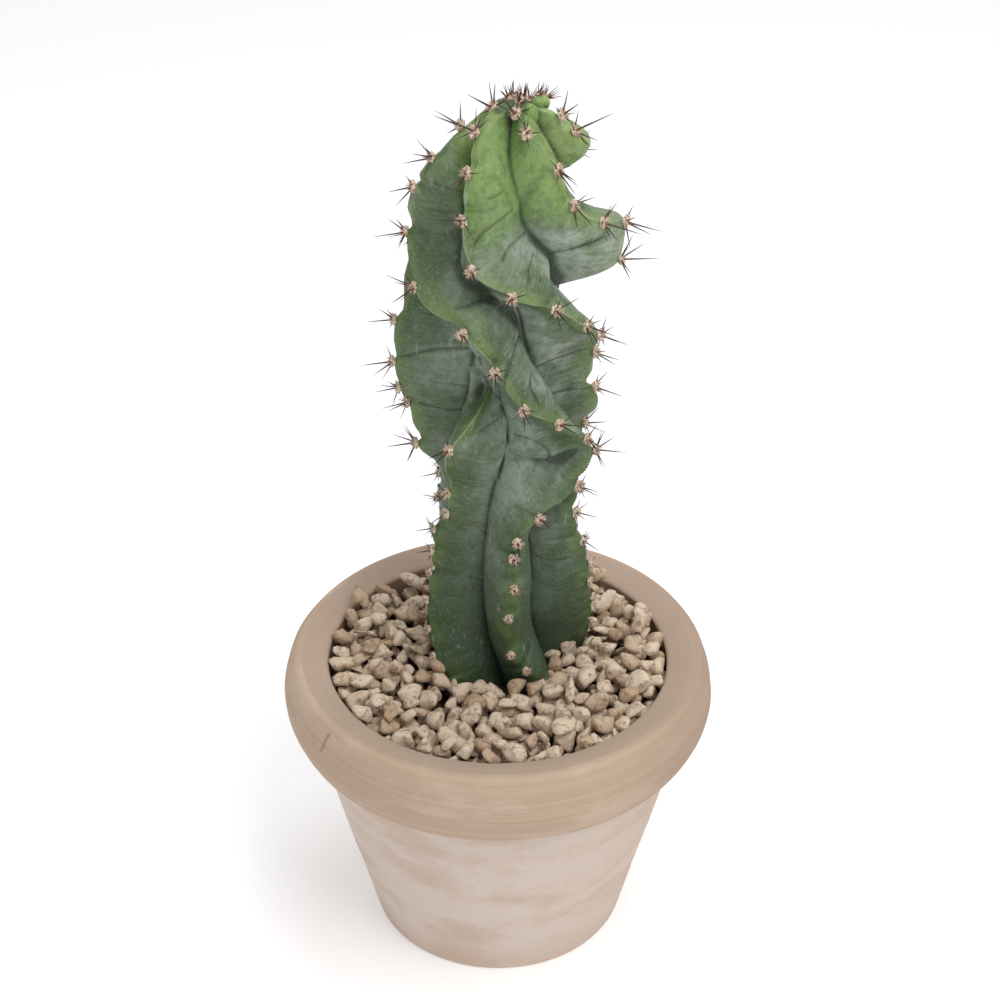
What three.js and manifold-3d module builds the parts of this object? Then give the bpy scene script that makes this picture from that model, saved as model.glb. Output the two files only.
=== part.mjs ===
// Spiral column cactus in a rolled-rim terracotta pot, top-dressed with pumice.
// Millimetres, +Z up. The origin is the centre of the pot's flat foot; -Y is the front.
import * as THREE from 'three';
import { mergeVertices } from 'three/addons/utils/BufferGeometryUtils.js';
import Module from 'manifold-3d';

const wasm = await Module();
wasm.setup();

// Driving dimensions.
const RIM_RADIUS = 120;          // widest point of the rolled collar
const POT_HEIGHT = 176.5;        // crown of the collar above the foot
const FOOT_RADIUS = 73.2;
const FLOOR_THICKNESS = 12;
const DRAIN_RADIUS = 9;
const MOUTH_RADIUS = 94.5;       // inner lip of the collar
const COLLAR_LOW = 134.5;        // step under the collar
const SOIL_TOP = 147;
const BED_TOP = 158;             // packed gravel; single stones lie on it
const STEM_LOW = 114;            // end of the buried foot
const STEM_TOP = 497.4;
const TIP_RISE = 1;              // from the last ring of the stem to its tip
const ROOT_DROP = 4;             // from the first ring of the stem down to its blunt end
const GAP = 0.4;                 // clearance between neighbouring solids
const PAD_SIZE = [2.6, 3.2, 1.5]; // half width, half length and height of an areole's felt pad
const POT_SIDES = 48;
const STEM_SIDES = 46;
const STEM_RINGS = 58;

const material = (color, roughness) => new THREE.MeshStandardMaterial({ color, roughness, metalness: 0 });
const clay = material('#bfa085', 0.9);
const shardClay = material('#a9673f', 0.9);
const soilBrown = material('#3a2c22', 1.0);
const pumice = material('#bda586', 0.95);
const skin = material('#4d7046', 0.6);
const felt = material('#d9b79a', 0.9);

const root = new THREE.Group();

function addPiece(name, geometry, pieceMaterial) {
  const mesh = new THREE.Mesh(geometry, pieceMaterial);
  mesh.name = name;
  root.add(mesh);
  return mesh;
}

// --- Solids -------------------------------------------------------------------------------

// A profile of [radius, height] pairs turned about the Z axis.
function turned(profile, sides = POT_SIDES) {
  const points = profile.map(([r, z]) => new THREE.Vector2(r, z));
  return new THREE.LatheGeometry(points, sides).rotateX(Math.PI / 2);
}

// A closed geometry as a solid for joins and cuts. Triangles that collapse on the axis are dropped.
function solidOf(geometry) {
  const bare = geometry.clone();
  bare.deleteAttribute('normal');
  bare.deleteAttribute('uv');
  const merged = mergeVertices(bare, 1e-4);
  const index = merged.index.array;
  const triangles = [];
  for (let i = 0; i < index.length; i += 3) {
    const [a, b, c] = [index[i], index[i + 1], index[i + 2]];
    if (a !== b && b !== c && c !== a) triangles.push(a, b, c);
  }
  const mesh = new wasm.Mesh({
    numProp: 3,
    vertProperties: new Float32Array(merged.attributes.position.array),
    triVerts: new Uint32Array(triangles),
  });
  return new wasm.Manifold(mesh);
}

function geometryOf(solid) {
  const mesh = solid.getMesh();
  const geometry = new THREE.BufferGeometry();
  geometry.setAttribute('position', new THREE.BufferAttribute(mesh.vertProperties, 3));
  geometry.setIndex(new THREE.BufferAttribute(mesh.triVerts, 1));
  return geometry;
}

// Linear reading of a table of rows [key, value, ...], sorted by rising key.
function read(table, key, column = 1) {
  if (key <= table[0][0]) return table[0][column];
  for (let i = 1; i < table.length; i += 1) {
    const [low, high] = [table[i - 1], table[i]];
    if (key <= high[0]) {
      const share = (key - low[0]) / (high[0] - low[0]);
      return low[column] + (high[column] - low[column]) * share;
    }
  }
  return table[table.length - 1][column];
}

// A seeded generator, so that every build gives the same spines and stones.
function randomFrom(seed) {
  let state = seed;
  return () => {
    state = (state * 1664525 + 1013904223) % 4294967296;
    return state / 4294967296;
  };
}

// --- Pot ----------------------------------------------------------------------------------

// Inside wall as [height, radius], from the floor to the lip.
const INSIDE = [
  [FLOOR_THICKNESS, 64.5], [16, 67], [COLLAR_LOW, 95.4], [160, 95.6], [168, 95.2], [171.4, MOUTH_RADIUS],
];

const potProfile = [
  [DRAIN_RADIUS, 0], [FOOT_RADIUS - 2, 0], [FOOT_RADIUS, 2],
  [105.4, COLLAR_LOW - 0.8], [106.4, COLLAR_LOW], [112.4, COLLAR_LOW + 0.4], [114.4, COLLAR_LOW + 1.6],
  [115.8, 138.5], [117.6, 142.5], [119.4, 148], [RIM_RADIUS, 153], [119.6, 158.5], [118.3, 164.5],
  [116.4, 170], [114.4, 173.6], [112.4, 175.8], [110, POT_HEIGHT], [104.5, 175.5], [98.8, 173.8],
  [95.6, 172.6],
  ...INSIDE.slice().reverse().map(([z, r]) => [r, z]),
  [DRAIN_RADIUS + 1, FLOOR_THICKNESS], [DRAIN_RADIUS, FLOOR_THICKNESS - 1], [DRAIN_RADIUS, 0],
];
addPiece('pot', turned(potProfile), clay);

// A shard of a broken pot arches over the drain hole and keeps the soil in.
const CROCK = { inner: 32, outer: 37, length: 46, halfAngle: 0.62 };

function arch({ inner, outer, length, halfAngle }) {
  const section = new THREE.Shape();
  section.absarc(0, 0, outer, Math.PI / 2 - halfAngle, Math.PI / 2 + halfAngle, false);
  section.absarc(0, 0, inner, Math.PI / 2 + halfAngle, Math.PI / 2 - halfAngle, true);
  const extrusion = { depth: length, bevelEnabled: false, curveSegments: 8 };
  const geometry = new THREE.ExtrudeGeometry(section, extrusion);
  return geometry.translate(0, -inner * Math.cos(halfAngle), -length / 2).rotateX(Math.PI / 2);
}

const crock = addPiece('drainage_crock', arch(CROCK), shardClay);
crock.position.set(0, 0, FLOOR_THICKNESS + GAP);

// --- Stem ---------------------------------------------------------------------------------

// Middle line of the stem: [height, x, y].
const MIDDLE = [
  [STEM_LOW, 4, 8], [230, 4, 8], [300, 3, 6], [360, 0, 4], [420, 4, 4], [STEM_TOP, 10, 4],
];

// Bottom of the grooves between the ribs: [height, distance from the middle line].
const GROOVE = [
  [STEM_LOW, 9], [150, 13], [175, 16], [210, 20], [300, 20], [345, 19], [385, 22], [430, 25],
  [462, 24], [482, 18], [492, 11], [STEM_TOP, 5],
];

// How full a flank is: near 2 it bulges, below 1 it drops steeply beside the crest and runs out flat.
// The columns are the height, then the value for an upright rib and for the broad and the steep side
// of a leaning one.
const FULLNESS = [
  [STEM_LOW, 1.1, 1.1, 1.1], [260, 1.1, 1.2, 1.0], [300, 1.0, 1.2, 0.9], [335, 1.0, 1.2, 0.62],
  [400, 0.95, 1.3, 0.6], [445, 1.0, 1.5, 0.62], [470, 1.3, 1.7, 0.8], [STEM_TOP, 1.6, 1.8, 1.2],
];

// Ribs whose crest leans over: 1 leans down and to the left of its run, -1 to the right.
const LEAN = { left_front: 1, front: 1, hook: -1 };

// The skin never reaches beyond this rounded crown: [height, distance from the middle line].
const CROWN = [[455, 62], [470, 52], [480, 44], [487, 36], [492, 28], [495, 19], [STEM_TOP, 8]];

// Local swells and dents of the skin: [height, bearing, amount, spread].
const SWELLS = [
  [352, -28, -4, 12], [426, 88, 12, 15], [439, 92, 12, 9], [478, 84, 8, 11], [328, 96, 3, 9],
  [312, 106, 5, 9], [409, 48, -8, 7], [416, 38, -4, 6], [418, -38, 10, 14], [404, -8, 7, 10],
];

// Outlines that the skin keeps inside on one side, with their middle bearing and half width in degrees.
// Rows are [height, distance from the middle line]. The right ones undercut the hook and neck in above it.
const OUTLINES = [
  { bearing: 106, halfWidth: 46, limit: [
    [378, 64], [390, 44], [396, 25], [401, 24], [405, 35], [409, 52], [416, 59], [441, 60], [444, 56],
    [446, 46], [449, 33], [454, 28], [461, 24], [464, 25], [467, 31], [470, 35], [476, 36.5],
    [479, 35.5], [482, 31], [485, 24], [488, 17], [STEM_TOP, 9],
  ] },
  { bearing: -88, halfWidth: 36, limit: [
    [262, 60], [270, 38], [290, 35], [296, 39], [300, 48], [308, 55], [325, 66], [440, 66], [452, 52],
    [461, 51], [464, 50.5], [467, 47.5], [470, 45.5], [473, 42], [476, 38], [480, 34.5], [483, 32.5],
    [486, 26.5], [489, 20.5], [STEM_TOP, 9],
  ] },
  { bearing: 116, halfWidth: 32, limit: [
    [424, 90], [430, 66], [434, 57], [436, 46], [438, 34], [441, 29], [454, 27], [462, 26], [468, 60],
    [STEM_TOP, 60],
  ] },
  { bearing: 96, halfWidth: 21, limit: [
    [434, 90], [439, 64], [442, 56], [443.5, 44], [445, 34], [448, 30], [455, 28], [462, 26], [468, 60],
    [STEM_TOP, 60],
  ] },
];

// Crest of each rib, from the crown down: [height, bearing, reach]. The bearing is in degrees from
// the front towards +X. A fourth value of 0 marks a bend of the crest that carries no areole.
const RIBS = {
  left_front: [
    [499, -110, 9, 0], [486, -74, 29], [473, -72, 44], [457, -78, 50], [430, -86, 50], [411, -60, 49],
    [397, -22, 50], [376, -3, 49], [355, 14, 50], [342, 36, 50], [324, 60, 50], [303, 88, 48],
    [292, 62, 43], [283, 25, 42], [270, 9, 42], [260, 6, 42], [240, 6, 42], [220, 2, 40],
    [194, 4, 38], [182, 17, 38], [169, 36, 39], [150, 44, 32, 0], [STEM_LOW, 45, 12, 0],
  ],
  front: [
    [499, -60, 10], [489, -41, 29], [474, -34, 40], [452, -31, 45], [430, -20, 48], [417, 3, 49],
    [407, 30, 50], [391, 56, 50], [376, 80, 51], [362, 88, 49], [338, 96, 48], [322, 104, 49.5, 0],
    [306, 116, 46], [296, 104, 43, 0], [284, 78, 40.5], [275, 62, 42], [256, 66, 45], [235, 77, 47],
    [222, 79, 46], [209, 84, 48], [198, 90, 48], [184, 98, 48], [170, 104, 47, 0], [150, 106, 38, 0],
    [STEM_LOW, 106, 12, 0],
  ],
  hook: [
    [499, -5, 9], [488, 10, 22], [471, 42, 30], [454, 50, 38], [444, 63, 49], [441, 75, 57],
    [416, 85, 54], [406, 110, 41, 0], [392, 146, 40], [368, 162, 45], [342, 174, 46], [318, 184, 45],
    [296, 164, 43], [276, 138, 42], [250, 134, 44], [224, 140, 45], [198, 146, 45], [172, 150, 44, 0],
    [150, 150, 36, 0], [STEM_LOW, 150, 12, 0],
  ],
  right_back: [
    [492, 60, 22], [484, 72, 30], [478, 88, 35, 0], [467, 114, 34], [452, 142, 38], [428, 166, 43],
    [402, 190, 46], [378, 216, 47], [352, 232, 46], [326, 238, 45], [302, 226, 43], [276, 200, 42],
    [250, 192, 44], [224, 194, 45], [198, 198, 45], [172, 198, 44, 0], [150, 198, 36, 0],
    [STEM_LOW, 198, 12, 0],
  ],
  left: [
    [499, 170, 9, 0], [480, 188, 25], [460, 208, 38], [440, 232, 45], [422, 252, 47], [400, 264, 51, 0],
    [380, 270, 54], [358, 274, 54], [343, 275, 52], [334, 275, 48], [307, 271, 46], [294, 262, 43, 0],
    [280, 250, 42], [258, 240, 42], [232, 238, 44], [206, 243, 46], [180, 248, 48], [164, 250, 47, 0],
    [150, 250, 38, 0], [STEM_LOW, 250, 12, 0],
  ],
  low_left: [
    [350, -16, 19, 0], [339, -24, 32, 0], [324, -36, 45], [306, -47, 41, 0], [288, -54, 37], [273, -60, 36],
    [260, -71, 40], [243, -77, 40.5], [228, -77, 42], [213, -73, 45], [197, -66, 46], [182, -59, 46],
    [169, -48, 44], [150, -46, 36, 0], [STEM_LOW, -46, 12, 0],
  ],
};

// The crests are followed on the unrolled stem, where a degree is this many millimetres.
const MM_PER_DEGREE = 0.7;
const CREST_STEPS = 5;
const SIDE_BLEND = 3;            // distance from a leaning crest over which its two sides part
const SHALLOWEST_GROOVE = 0.92;  // share of the crest's reach that a groove never rises above
const LEAST_REACH = 3;
const LIMIT_POWER = 16;
const OUTLINE_CORE = 0.55;       // share of an outline's half width where it holds in full
const CRESTS = Object.entries(RIBS).map(([name, rib]) => {
  const curve = new THREE.CatmullRomCurve3(
    rib.map(([z, bearing, reach]) => new THREE.Vector3(bearing * MM_PER_DEGREE, z, reach)),
    false, 'centripetal');
  return { lean: LEAN[name] ?? 0, points: curve.getPoints((rib.length - 1) * CREST_STEPS) };
});

// From a point on the unrolled stem to a crest: the distance, the crest's reach at its nearest point,
// and the side of a leaning crest, from -1 on its steep side to 1 on its broad side.
function nearestOn({ lean, points: crest }, bearing, z) {
  const turn = 360 * MM_PER_DEGREE;
  let best = { distance: Infinity, reach: 0, side: 0 };
  for (let i = 1; i < crest.length; i += 1) {
    const [a, b] = [crest[i - 1], crest[i]];
    const around = bearing * MM_PER_DEGREE - a.x;
    const x = around - turn * Math.round(around / turn);
    const [dx, dz] = [b.x - a.x, b.y - a.y];
    const along = THREE.MathUtils.clamp((x * dx + (z - a.y) * dz) / (dx * dx + dz * dz), 0, 1);
    const distance = Math.hypot(x - along * dx, z - a.y - along * dz);
    if (distance < best.distance) {
      const across = (dx * (z - a.y) - dz * x) / Math.hypot(dx, dz);
      const side = lean * THREE.MathUtils.clamp(across / SIDE_BLEND, -1, 1);
      best = { distance, reach: a.z + (b.z - a.z) * along, side };
    }
  }
  return best;
}

// Signed turn in degrees from one bearing to another, from -180 to 180.
const turnBetween = (from, to) => THREE.MathUtils.euclideanModulo(to - from + 180, 360) - 180;

// Distance of the skin from the middle line. Between the two nearest crests it falls to the groove.
// Higher powers turn the skin over more sharply where it meets the crown and the outlines.
function skinReach(bearing, z) {
  const [first, second] = CRESTS.map((crest) => nearestOn(crest, bearing, z))
    .sort((a, b) => a.distance - b.distance);
  const groove = Math.min(read(GROOVE, z), first.reach * SHALLOWEST_GROOVE);
  const towardsGroove = (2 * first.distance) / (first.distance + second.distance);
  const [upright, broad, steep] = [1, 2, 3].map((column) => read(FULLNESS, z, column));
  const fullness = upright + first.side * (first.side > 0 ? broad - upright : upright - steep);
  let skinAt = first.reach - (first.reach - groove) * towardsGroove ** fullness;
  for (const [height, side, amount, spread] of SWELLS) {
    const away = turnBetween(side, bearing) * MM_PER_DEGREE;
    skinAt += amount * Math.exp(-(away ** 2 + (z - height) ** 2) / spread ** 2);
  }
  let limits = Math.max(skinAt, LEAST_REACH) ** -LIMIT_POWER + read(CROWN, z) ** -LIMIT_POWER;
  for (const { bearing: side, halfWidth, limit } of OUTLINES) {
    const away = Math.abs(turnBetween(side, bearing));
    const weight = 1 - THREE.MathUtils.smoothstep(away, OUTLINE_CORE * halfWidth, halfWidth);
    limits += weight * read(limit, z) ** -LIMIT_POWER;
  }
  return limits ** (-1 / LIMIT_POWER);
}

// The stem as rings of points, closed by one point at each end. extra thickens it all over.
function stemGeometry(extra = 0) {
  const positions = [];
  const index = [];
  const low = STEM_LOW - extra;
  positions.push(read(MIDDLE, low, 1), read(MIDDLE, low, 2), low - ROOT_DROP);
  for (let ring = 0; ring < STEM_RINGS; ring += 1) {
    const z = low + ((STEM_TOP - TIP_RISE - low) * ring) / (STEM_RINGS - 1);
    for (let side = 0; side < STEM_SIDES; side += 1) {
      const bearing = (360 * side) / STEM_SIDES;
      const angle = THREE.MathUtils.degToRad(bearing);
      const reach = skinReach(bearing, z) + extra;
      const x = read(MIDDLE, z, 1) + reach * Math.sin(angle);
      const y = read(MIDDLE, z, 2) - reach * Math.cos(angle);
      positions.push(x, y, z);
    }
  }
  positions.push(read(MIDDLE, STEM_TOP, 1), read(MIDDLE, STEM_TOP, 2), STEM_TOP + extra);
  const at = (ring, side) => 1 + ring * STEM_SIDES + (side % STEM_SIDES);
  const last = positions.length / 3 - 1;
  for (let side = 0; side < STEM_SIDES; side += 1) {
    index.push(0, at(0, side + 1), at(0, side));
    index.push(last, at(STEM_RINGS - 1, side), at(STEM_RINGS - 1, side + 1));
    for (let ring = 1; ring < STEM_RINGS; ring += 1) {
      index.push(at(ring - 1, side), at(ring - 1, side + 1), at(ring, side + 1));
      index.push(at(ring - 1, side), at(ring, side + 1), at(ring, side));
    }
  }
  const geometry = new THREE.BufferGeometry();
  geometry.setAttribute('position', new THREE.Float32BufferAttribute(positions, 3));
  geometry.setIndex(index);
  return geometry;
}

addPiece('stem', stemGeometry(), skin);

// --- Soil and gravel round the foot of the stem ---------------------------------------------

const stemSocket = solidOf(stemGeometry(GAP));

// A filling of the pot between two heights, with a recess of its own in the middle of its underside.
function filling(low, high, recess) {
  const wall = (z) => read(INSIDE, z) - GAP;
  const walls = INSIDE.map(([z]) => z).filter((z) => z > low && z < high);
  const outside = [low, ...walls, high].map((z) => [wall(z), z]);
  const { radius = 0, height = 0 } = recess ?? {};
  const floor = recess ? [[0, low + height], [radius, low + height], [radius, low]] : [[0, low]];
  return turned([...floor, ...outside, [0, high]]);
}

const soilLow = FLOOR_THICKNESS + GAP;
const crockRecess = { radius: 32, height: 13 };
const soil = solidOf(filling(soilLow, SOIL_TOP, crockRecess)).subtract(stemSocket);
addPiece('potting_soil', geometryOf(soil), soilBrown);

const bed = solidOf(filling(SOIL_TOP + GAP, BED_TOP, null)).subtract(stemSocket);
addPiece('gravel_bed', geometryOf(bed), pumice);

// Single stones on the bed: [bearing, distance from the pot's axis, length, width, height].
const STONES = [
  [22, 82, 13, 12, 10], [33, 80, 10, 9, 9], [8, 84, 12, 9, 8], [-6, 66, 11, 9, 9], [47, 72, 12, 9, 9],
  [62, 80, 16, 10, 9], [-20, 80, 10, 9, 8], [-38, 78, 12, 10, 9], [-62, 72, 13, 10, 9], [-80, 82, 12, 10, 9],
  [-100, 72, 12, 11, 10], [84, 78, 12, 10, 8], [-140, 80, 12, 9, 8], [130, 78, 12, 10, 9],
  [180, 80, 13, 10, 9],
];

const LEAST_SWELL = 0.88;        // a stone's corners lie between this share of its ellipsoid and all of it
const FIRST_STONE_SEED = 40;

function stoneGeometry(length, width, height, seed) {
  const random = randomFrom(seed);
  const ball = new THREE.IcosahedronGeometry(0.5, 1).deleteAttribute('normal').deleteAttribute('uv');
  const geometry = mergeVertices(ball);
  const position = geometry.attributes.position;
  for (let i = 0; i < position.count; i += 1) {
    const swell = LEAST_SWELL + (1 - LEAST_SWELL) * random();
    position.setXYZ(i, position.getX(i) * swell, position.getY(i) * swell, position.getZ(i) * swell);
  }
  return geometry.scale(length, width, height);
}

STONES.forEach(([bearing, distance, length, width, height], i) => {
  const geometry = stoneGeometry(length, width, height, FIRST_STONE_SEED + i);
  const stone = addPiece(`stone_${String(i + 1).padStart(2, '0')}`, geometry, pumice);
  const angle = THREE.MathUtils.degToRad(bearing);
  stone.position.set(distance * Math.sin(angle), -distance * Math.cos(angle), BED_TOP + GAP + height / 2);
  stone.rotation.z = angle + i;
});

// --- Areoles: a felt pad with its spines -----------------------------------------------------

const SPINE_RADIUS = 0.5;
const SPINES_PER_AREOLE = 6;
const SPINE_SIDES = 3;
const SHORTEST_SPINE = 7;
const LONGEST_SPINE = 17;
const LENGTHENING = { from: 150, rise: 8 };   // a spine gains 1 mm for each such rise above that height
const CENTRAL_LEAN = 0.2;        // radians from the pad's facing
const RADIAL_LEAN = [1.0, 1.15];
const RADIAL_SHARE = [0.45, 0.75]; // length of a radial spine as a share of the central one
const FIRST_AREOLE_SEED = 7;
const AREOLE_LIMIT = 38;
const LOWEST_AREOLE = 176;
const TOP_INSET = 4;             // the highest pads sit this far below the tip
const CROWN_START = 470;         // above this the pads turn to face upwards
const CROWN_TURN = 0.6;
const CROWN_LIFT = 4;            // the crown falls away under a pad, so pads there sit a little prouder

// Spines of one areole: a ring of short ones round one or two long ones, in the pad's own frame.
function areoleGeometry(longest, seed) {
  const random = randomFrom(seed);
  const pad = new THREE.IcosahedronGeometry(1, 0).scale(...PAD_SIZE);
  let solid = solidOf(pad);
  for (let i = 0; i < SPINES_PER_AREOLE; i += 1) {
    const central = i === 0;
    const lean = central ? CENTRAL_LEAN : THREE.MathUtils.lerp(...RADIAL_LEAN, random());
    const around = (2 * Math.PI * i) / (SPINES_PER_AREOLE - 1) + random();
    const length = longest * (central ? 1 : THREE.MathUtils.lerp(...RADIAL_SHARE, random()));
    const direction = new THREE.Vector3(
      Math.sin(lean) * Math.cos(around), Math.sin(lean) * Math.sin(around), Math.cos(lean));
    const spine = new THREE.ConeGeometry(SPINE_RADIUS, length, SPINE_SIDES).translate(0, length / 2, 0);
    spine.applyQuaternion(new THREE.Quaternion().setFromUnitVectors(new THREE.Vector3(0, 1, 0), direction));
    solid = solid.add(solidOf(spine));
  }
  return geometryOf(solid);
}

// Every areole site, front ones first, so that the nodes go where the object is looked at from.
const sites = Object.values(RIBS).flat()
  .filter(([z, , , areole]) => areole !== 0 && z > LOWEST_AREOLE)
  .map(([z, bearing]) => ({ z: Math.min(z, STEM_TOP - TOP_INSET), bearing: turnBetween(0, bearing) }))
  .sort((a, b) => Math.abs(a.bearing) - Math.abs(b.bearing))
  .slice(0, AREOLE_LIMIT)
  .sort((a, b) => b.z - a.z);

sites.forEach(({ z, bearing }, i) => {
  const lengthened = (z - LENGTHENING.from) / LENGTHENING.rise;
  const longest = THREE.MathUtils.clamp(lengthened, SHORTEST_SPINE, LONGEST_SPINE);
  const geometry = areoleGeometry(longest, FIRST_AREOLE_SEED + i);
  const areole = addPiece(`spines_${String(i + 1).padStart(2, '0')}`, geometry, felt);
  const angle = THREE.MathUtils.degToRad(bearing);
  const outward = new THREE.Vector3(Math.sin(angle), -Math.cos(angle), 0);
  const rise = THREE.MathUtils.smoothstep(z, CROWN_START, STEM_TOP);
  const facing = outward.clone().lerp(new THREE.Vector3(0, 0, 1), rise * CROWN_TURN).normalize();
  areole.quaternion.setFromUnitVectors(new THREE.Vector3(0, 0, 1), facing);
  areole.position.set(read(MIDDLE, z, 1), read(MIDDLE, z, 2), z)
    .addScaledVector(outward, skinReach(bearing, z))
    .addScaledVector(facing, PAD_SIZE[2] + 2 * GAP + CROWN_LIFT * rise);
});

export default root;
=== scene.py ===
import math

import bmesh
import bpy
import numpy as np
from mathutils import Euler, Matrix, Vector


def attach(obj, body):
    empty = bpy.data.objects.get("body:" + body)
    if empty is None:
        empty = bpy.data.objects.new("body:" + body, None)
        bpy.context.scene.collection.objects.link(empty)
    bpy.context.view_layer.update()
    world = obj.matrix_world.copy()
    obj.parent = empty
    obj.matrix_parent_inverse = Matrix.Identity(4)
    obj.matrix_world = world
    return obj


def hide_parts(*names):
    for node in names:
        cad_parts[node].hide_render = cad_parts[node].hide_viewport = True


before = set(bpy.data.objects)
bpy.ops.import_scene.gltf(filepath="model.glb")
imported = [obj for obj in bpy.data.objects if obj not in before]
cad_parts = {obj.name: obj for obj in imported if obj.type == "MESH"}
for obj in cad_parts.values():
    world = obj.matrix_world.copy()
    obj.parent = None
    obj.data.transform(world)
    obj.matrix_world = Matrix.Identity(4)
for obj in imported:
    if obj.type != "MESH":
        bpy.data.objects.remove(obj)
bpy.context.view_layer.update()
MM = 0.001

# --- Table, light and camera ------------------------------------------------------------
# The plant stands on a plain pale table in even, soft studio light: a wide panel high on the
# right, a weaker one behind and above it and a bright surround. The camera looks down on it from the front.
TABLE_REACH = 400.0
TABLE_GLOW = 0.31
SURROUND_GLOW = 0.58
PANEL_WIDTH = 1.2
PANEL_AIM = (0, 0, 0.25)
CAMERA_PLACE = (0.0009, -0.898, 0.848)
CAMERA_DOWN = 32.58
CAMERA_LENS = 72.0
CAMERA_SENSOR = 36.0


def new_material(name):
    """A node material with one shader, its node tree and that shader."""
    made = bpy.data.materials.new(name)
    made.use_nodes = True
    made.node_tree.nodes.clear()
    output = made.node_tree.nodes.new("ShaderNodeOutputMaterial")
    shader = made.node_tree.nodes.new("ShaderNodeBsdfPrincipled")
    made.node_tree.links.new(shader.outputs["BSDF"], output.inputs["Surface"])
    return made, made.node_tree, shader


def mesh_object(name, vertices, *face_sets):
    """A smooth mesh object from vertices in millimetres and arrays of faces with equal corners."""
    mesh = bpy.data.meshes.new(name)
    vertices = np.asarray(vertices, np.float32) * MM
    face_sets = [np.asarray(faces, np.int32) for faces in face_sets]
    corners = np.concatenate([np.full(len(faces), faces.shape[1]) for faces in face_sets])
    mesh.vertices.add(len(vertices))
    mesh.vertices.foreach_set("co", vertices.ravel())
    mesh.loops.add(int(corners.sum()))
    mesh.loops.foreach_set("vertex_index", np.concatenate([faces.ravel() for faces in face_sets]))
    mesh.polygons.add(len(corners))
    mesh.polygons.foreach_set("loop_start", (np.cumsum(corners) - corners).astype(np.int32))
    mesh.polygons.foreach_set("use_smooth", np.ones(len(corners), bool))
    mesh.update(calc_edges=True)
    made = bpy.data.objects.new(name, mesh)
    bpy.context.scene.collection.objects.link(made)
    return made


edge = TABLE_REACH / MM
table = mesh_object("table_top", [(-edge, -edge, 0), (edge, -edge, 0), (edge, edge, 0), (-edge, edge, 0)],
                    [(0, 1, 2, 3)])
table_material, _, table_shader = new_material("table_white")
table_shader.inputs["Base Color"].default_value = (0.80, 0.80, 0.81, 1)
table_shader.inputs["Emission Color"].default_value = (1.0, 1.0, 1.0, 1)
table_shader.inputs["Emission Strength"].default_value = TABLE_GLOW
table_shader.inputs["Roughness"].default_value = 0.9
table.data.materials.append(table_material)


def soft_panel(name, place, power, colour):
    """A round light panel that faces the plant."""
    data = bpy.data.lights.new(name, "AREA")
    data.shape = "DISK"
    data.size = PANEL_WIDTH
    data.energy = power
    data.color = colour
    lamp = bpy.data.objects.new(name, data)
    lamp.location = place
    lamp.rotation_euler = (Vector(PANEL_AIM) - Vector(place)).to_track_quat("-Z", "Y").to_euler()
    bpy.context.scene.collection.objects.link(lamp)


soft_panel("panel_right", (0.75, -1.0, 2.1), 25, (1.0, 0.99, 0.97))
soft_panel("panel_top", (0.25, 0.5, 2.2), 13, (0.98, 0.99, 1.0))

surround = bpy.data.worlds.new("surround")
surround.use_nodes = True
surround.node_tree.nodes["Background"].inputs["Color"].default_value = (1.0, 1.0, 1.0, 1)
surround.node_tree.nodes["Background"].inputs["Strength"].default_value = SURROUND_GLOW
bpy.context.scene.world = surround
bpy.context.scene.view_settings.view_transform = "Standard"

camera_data = bpy.data.cameras.new("camera")
camera_data.lens = CAMERA_LENS
camera_data.sensor_width = CAMERA_SENSOR
camera = bpy.data.objects.new("camera", camera_data)
camera.location = CAMERA_PLACE
camera.rotation_euler = (math.radians(90 - CAMERA_DOWN), 0, 0)
bpy.context.scene.collection.objects.link(camera)
bpy.context.scene.camera = camera

# --- Pot ------------------------------------------------------------------------------------
# One piece of unglazed terracotta, thrown with a rolled collar and a drain hole in the foot. Lime
# has bloomed through the clay, pale over the body, while the handled collar stays warm and tan.
POT_SIDES = 540
# The turned outline, run by run: steps, then points of (radius, height). It starts under the foot.
POT_RUNS = [
    (14, [(9, 0), (71.2, 0)]),
    (6, [(71.2, 0), (72.4, 0.5), (73.2, 2)]),
    (150, [(73.2, 2), (81.4, 35), (89.6, 68), (97.6, 101), (105.4, 133.7)]),
    (8, [(105.4, 133.7), (106.4, 134.5), (109, 134.7), (112.4, 134.9)]),
    (100, [(112.4, 134.9), (114.4, 136.1), (115.8, 138.5), (117.6, 142.5), (119.4, 148), (120, 153),
           (119.6, 158.5), (118.3, 164.5), (116.4, 170), (114.4, 173.6), (112.4, 175.8), (110.0, 176.5),
           (104.5, 175.5), (98.8, 173.8), (95.6, 172.6), (94.5, 171.4), (95.2, 168), (95.6, 160),
           (95.4, 134.5)]),
    (40, [(95.4, 134.5), (67, 16), (64.5, 12), (10, 12)]),
    (4, [(10, 12), (9, 11), (9, 0)]),
]
# Places where the skin of the clay is knocked off: bearing, height, half width, half height.
CHIPS = [(71, 41, 6, 16), (70, 12, 4, 6), (-118, 64, 4, 6)]
CHIP_DEPTH = 1.3
# Only the rings outside the lip and the foot are chipped, and the hole's edge is left true.
OUTER_RINGS = 250
FOOT_RADIUS = 60
HOLE_CLEAR = 30
WOBBLE = 0.5
# A raised line runs under the lip, and one slanting crease was pressed into the collar.
COLLAR_RADIUS = 112
LINE_HEIGHT, LINE_WIDTH, LINE_RISE = 171.6, 0.55, 0.45
CREASE_BEARING, CREASE_HEIGHT = -52, 167
CREASE_HALF_LENGTH, CREASE_SLANT, CREASE_DEPTH = 6, 0.12, 0.35


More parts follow.
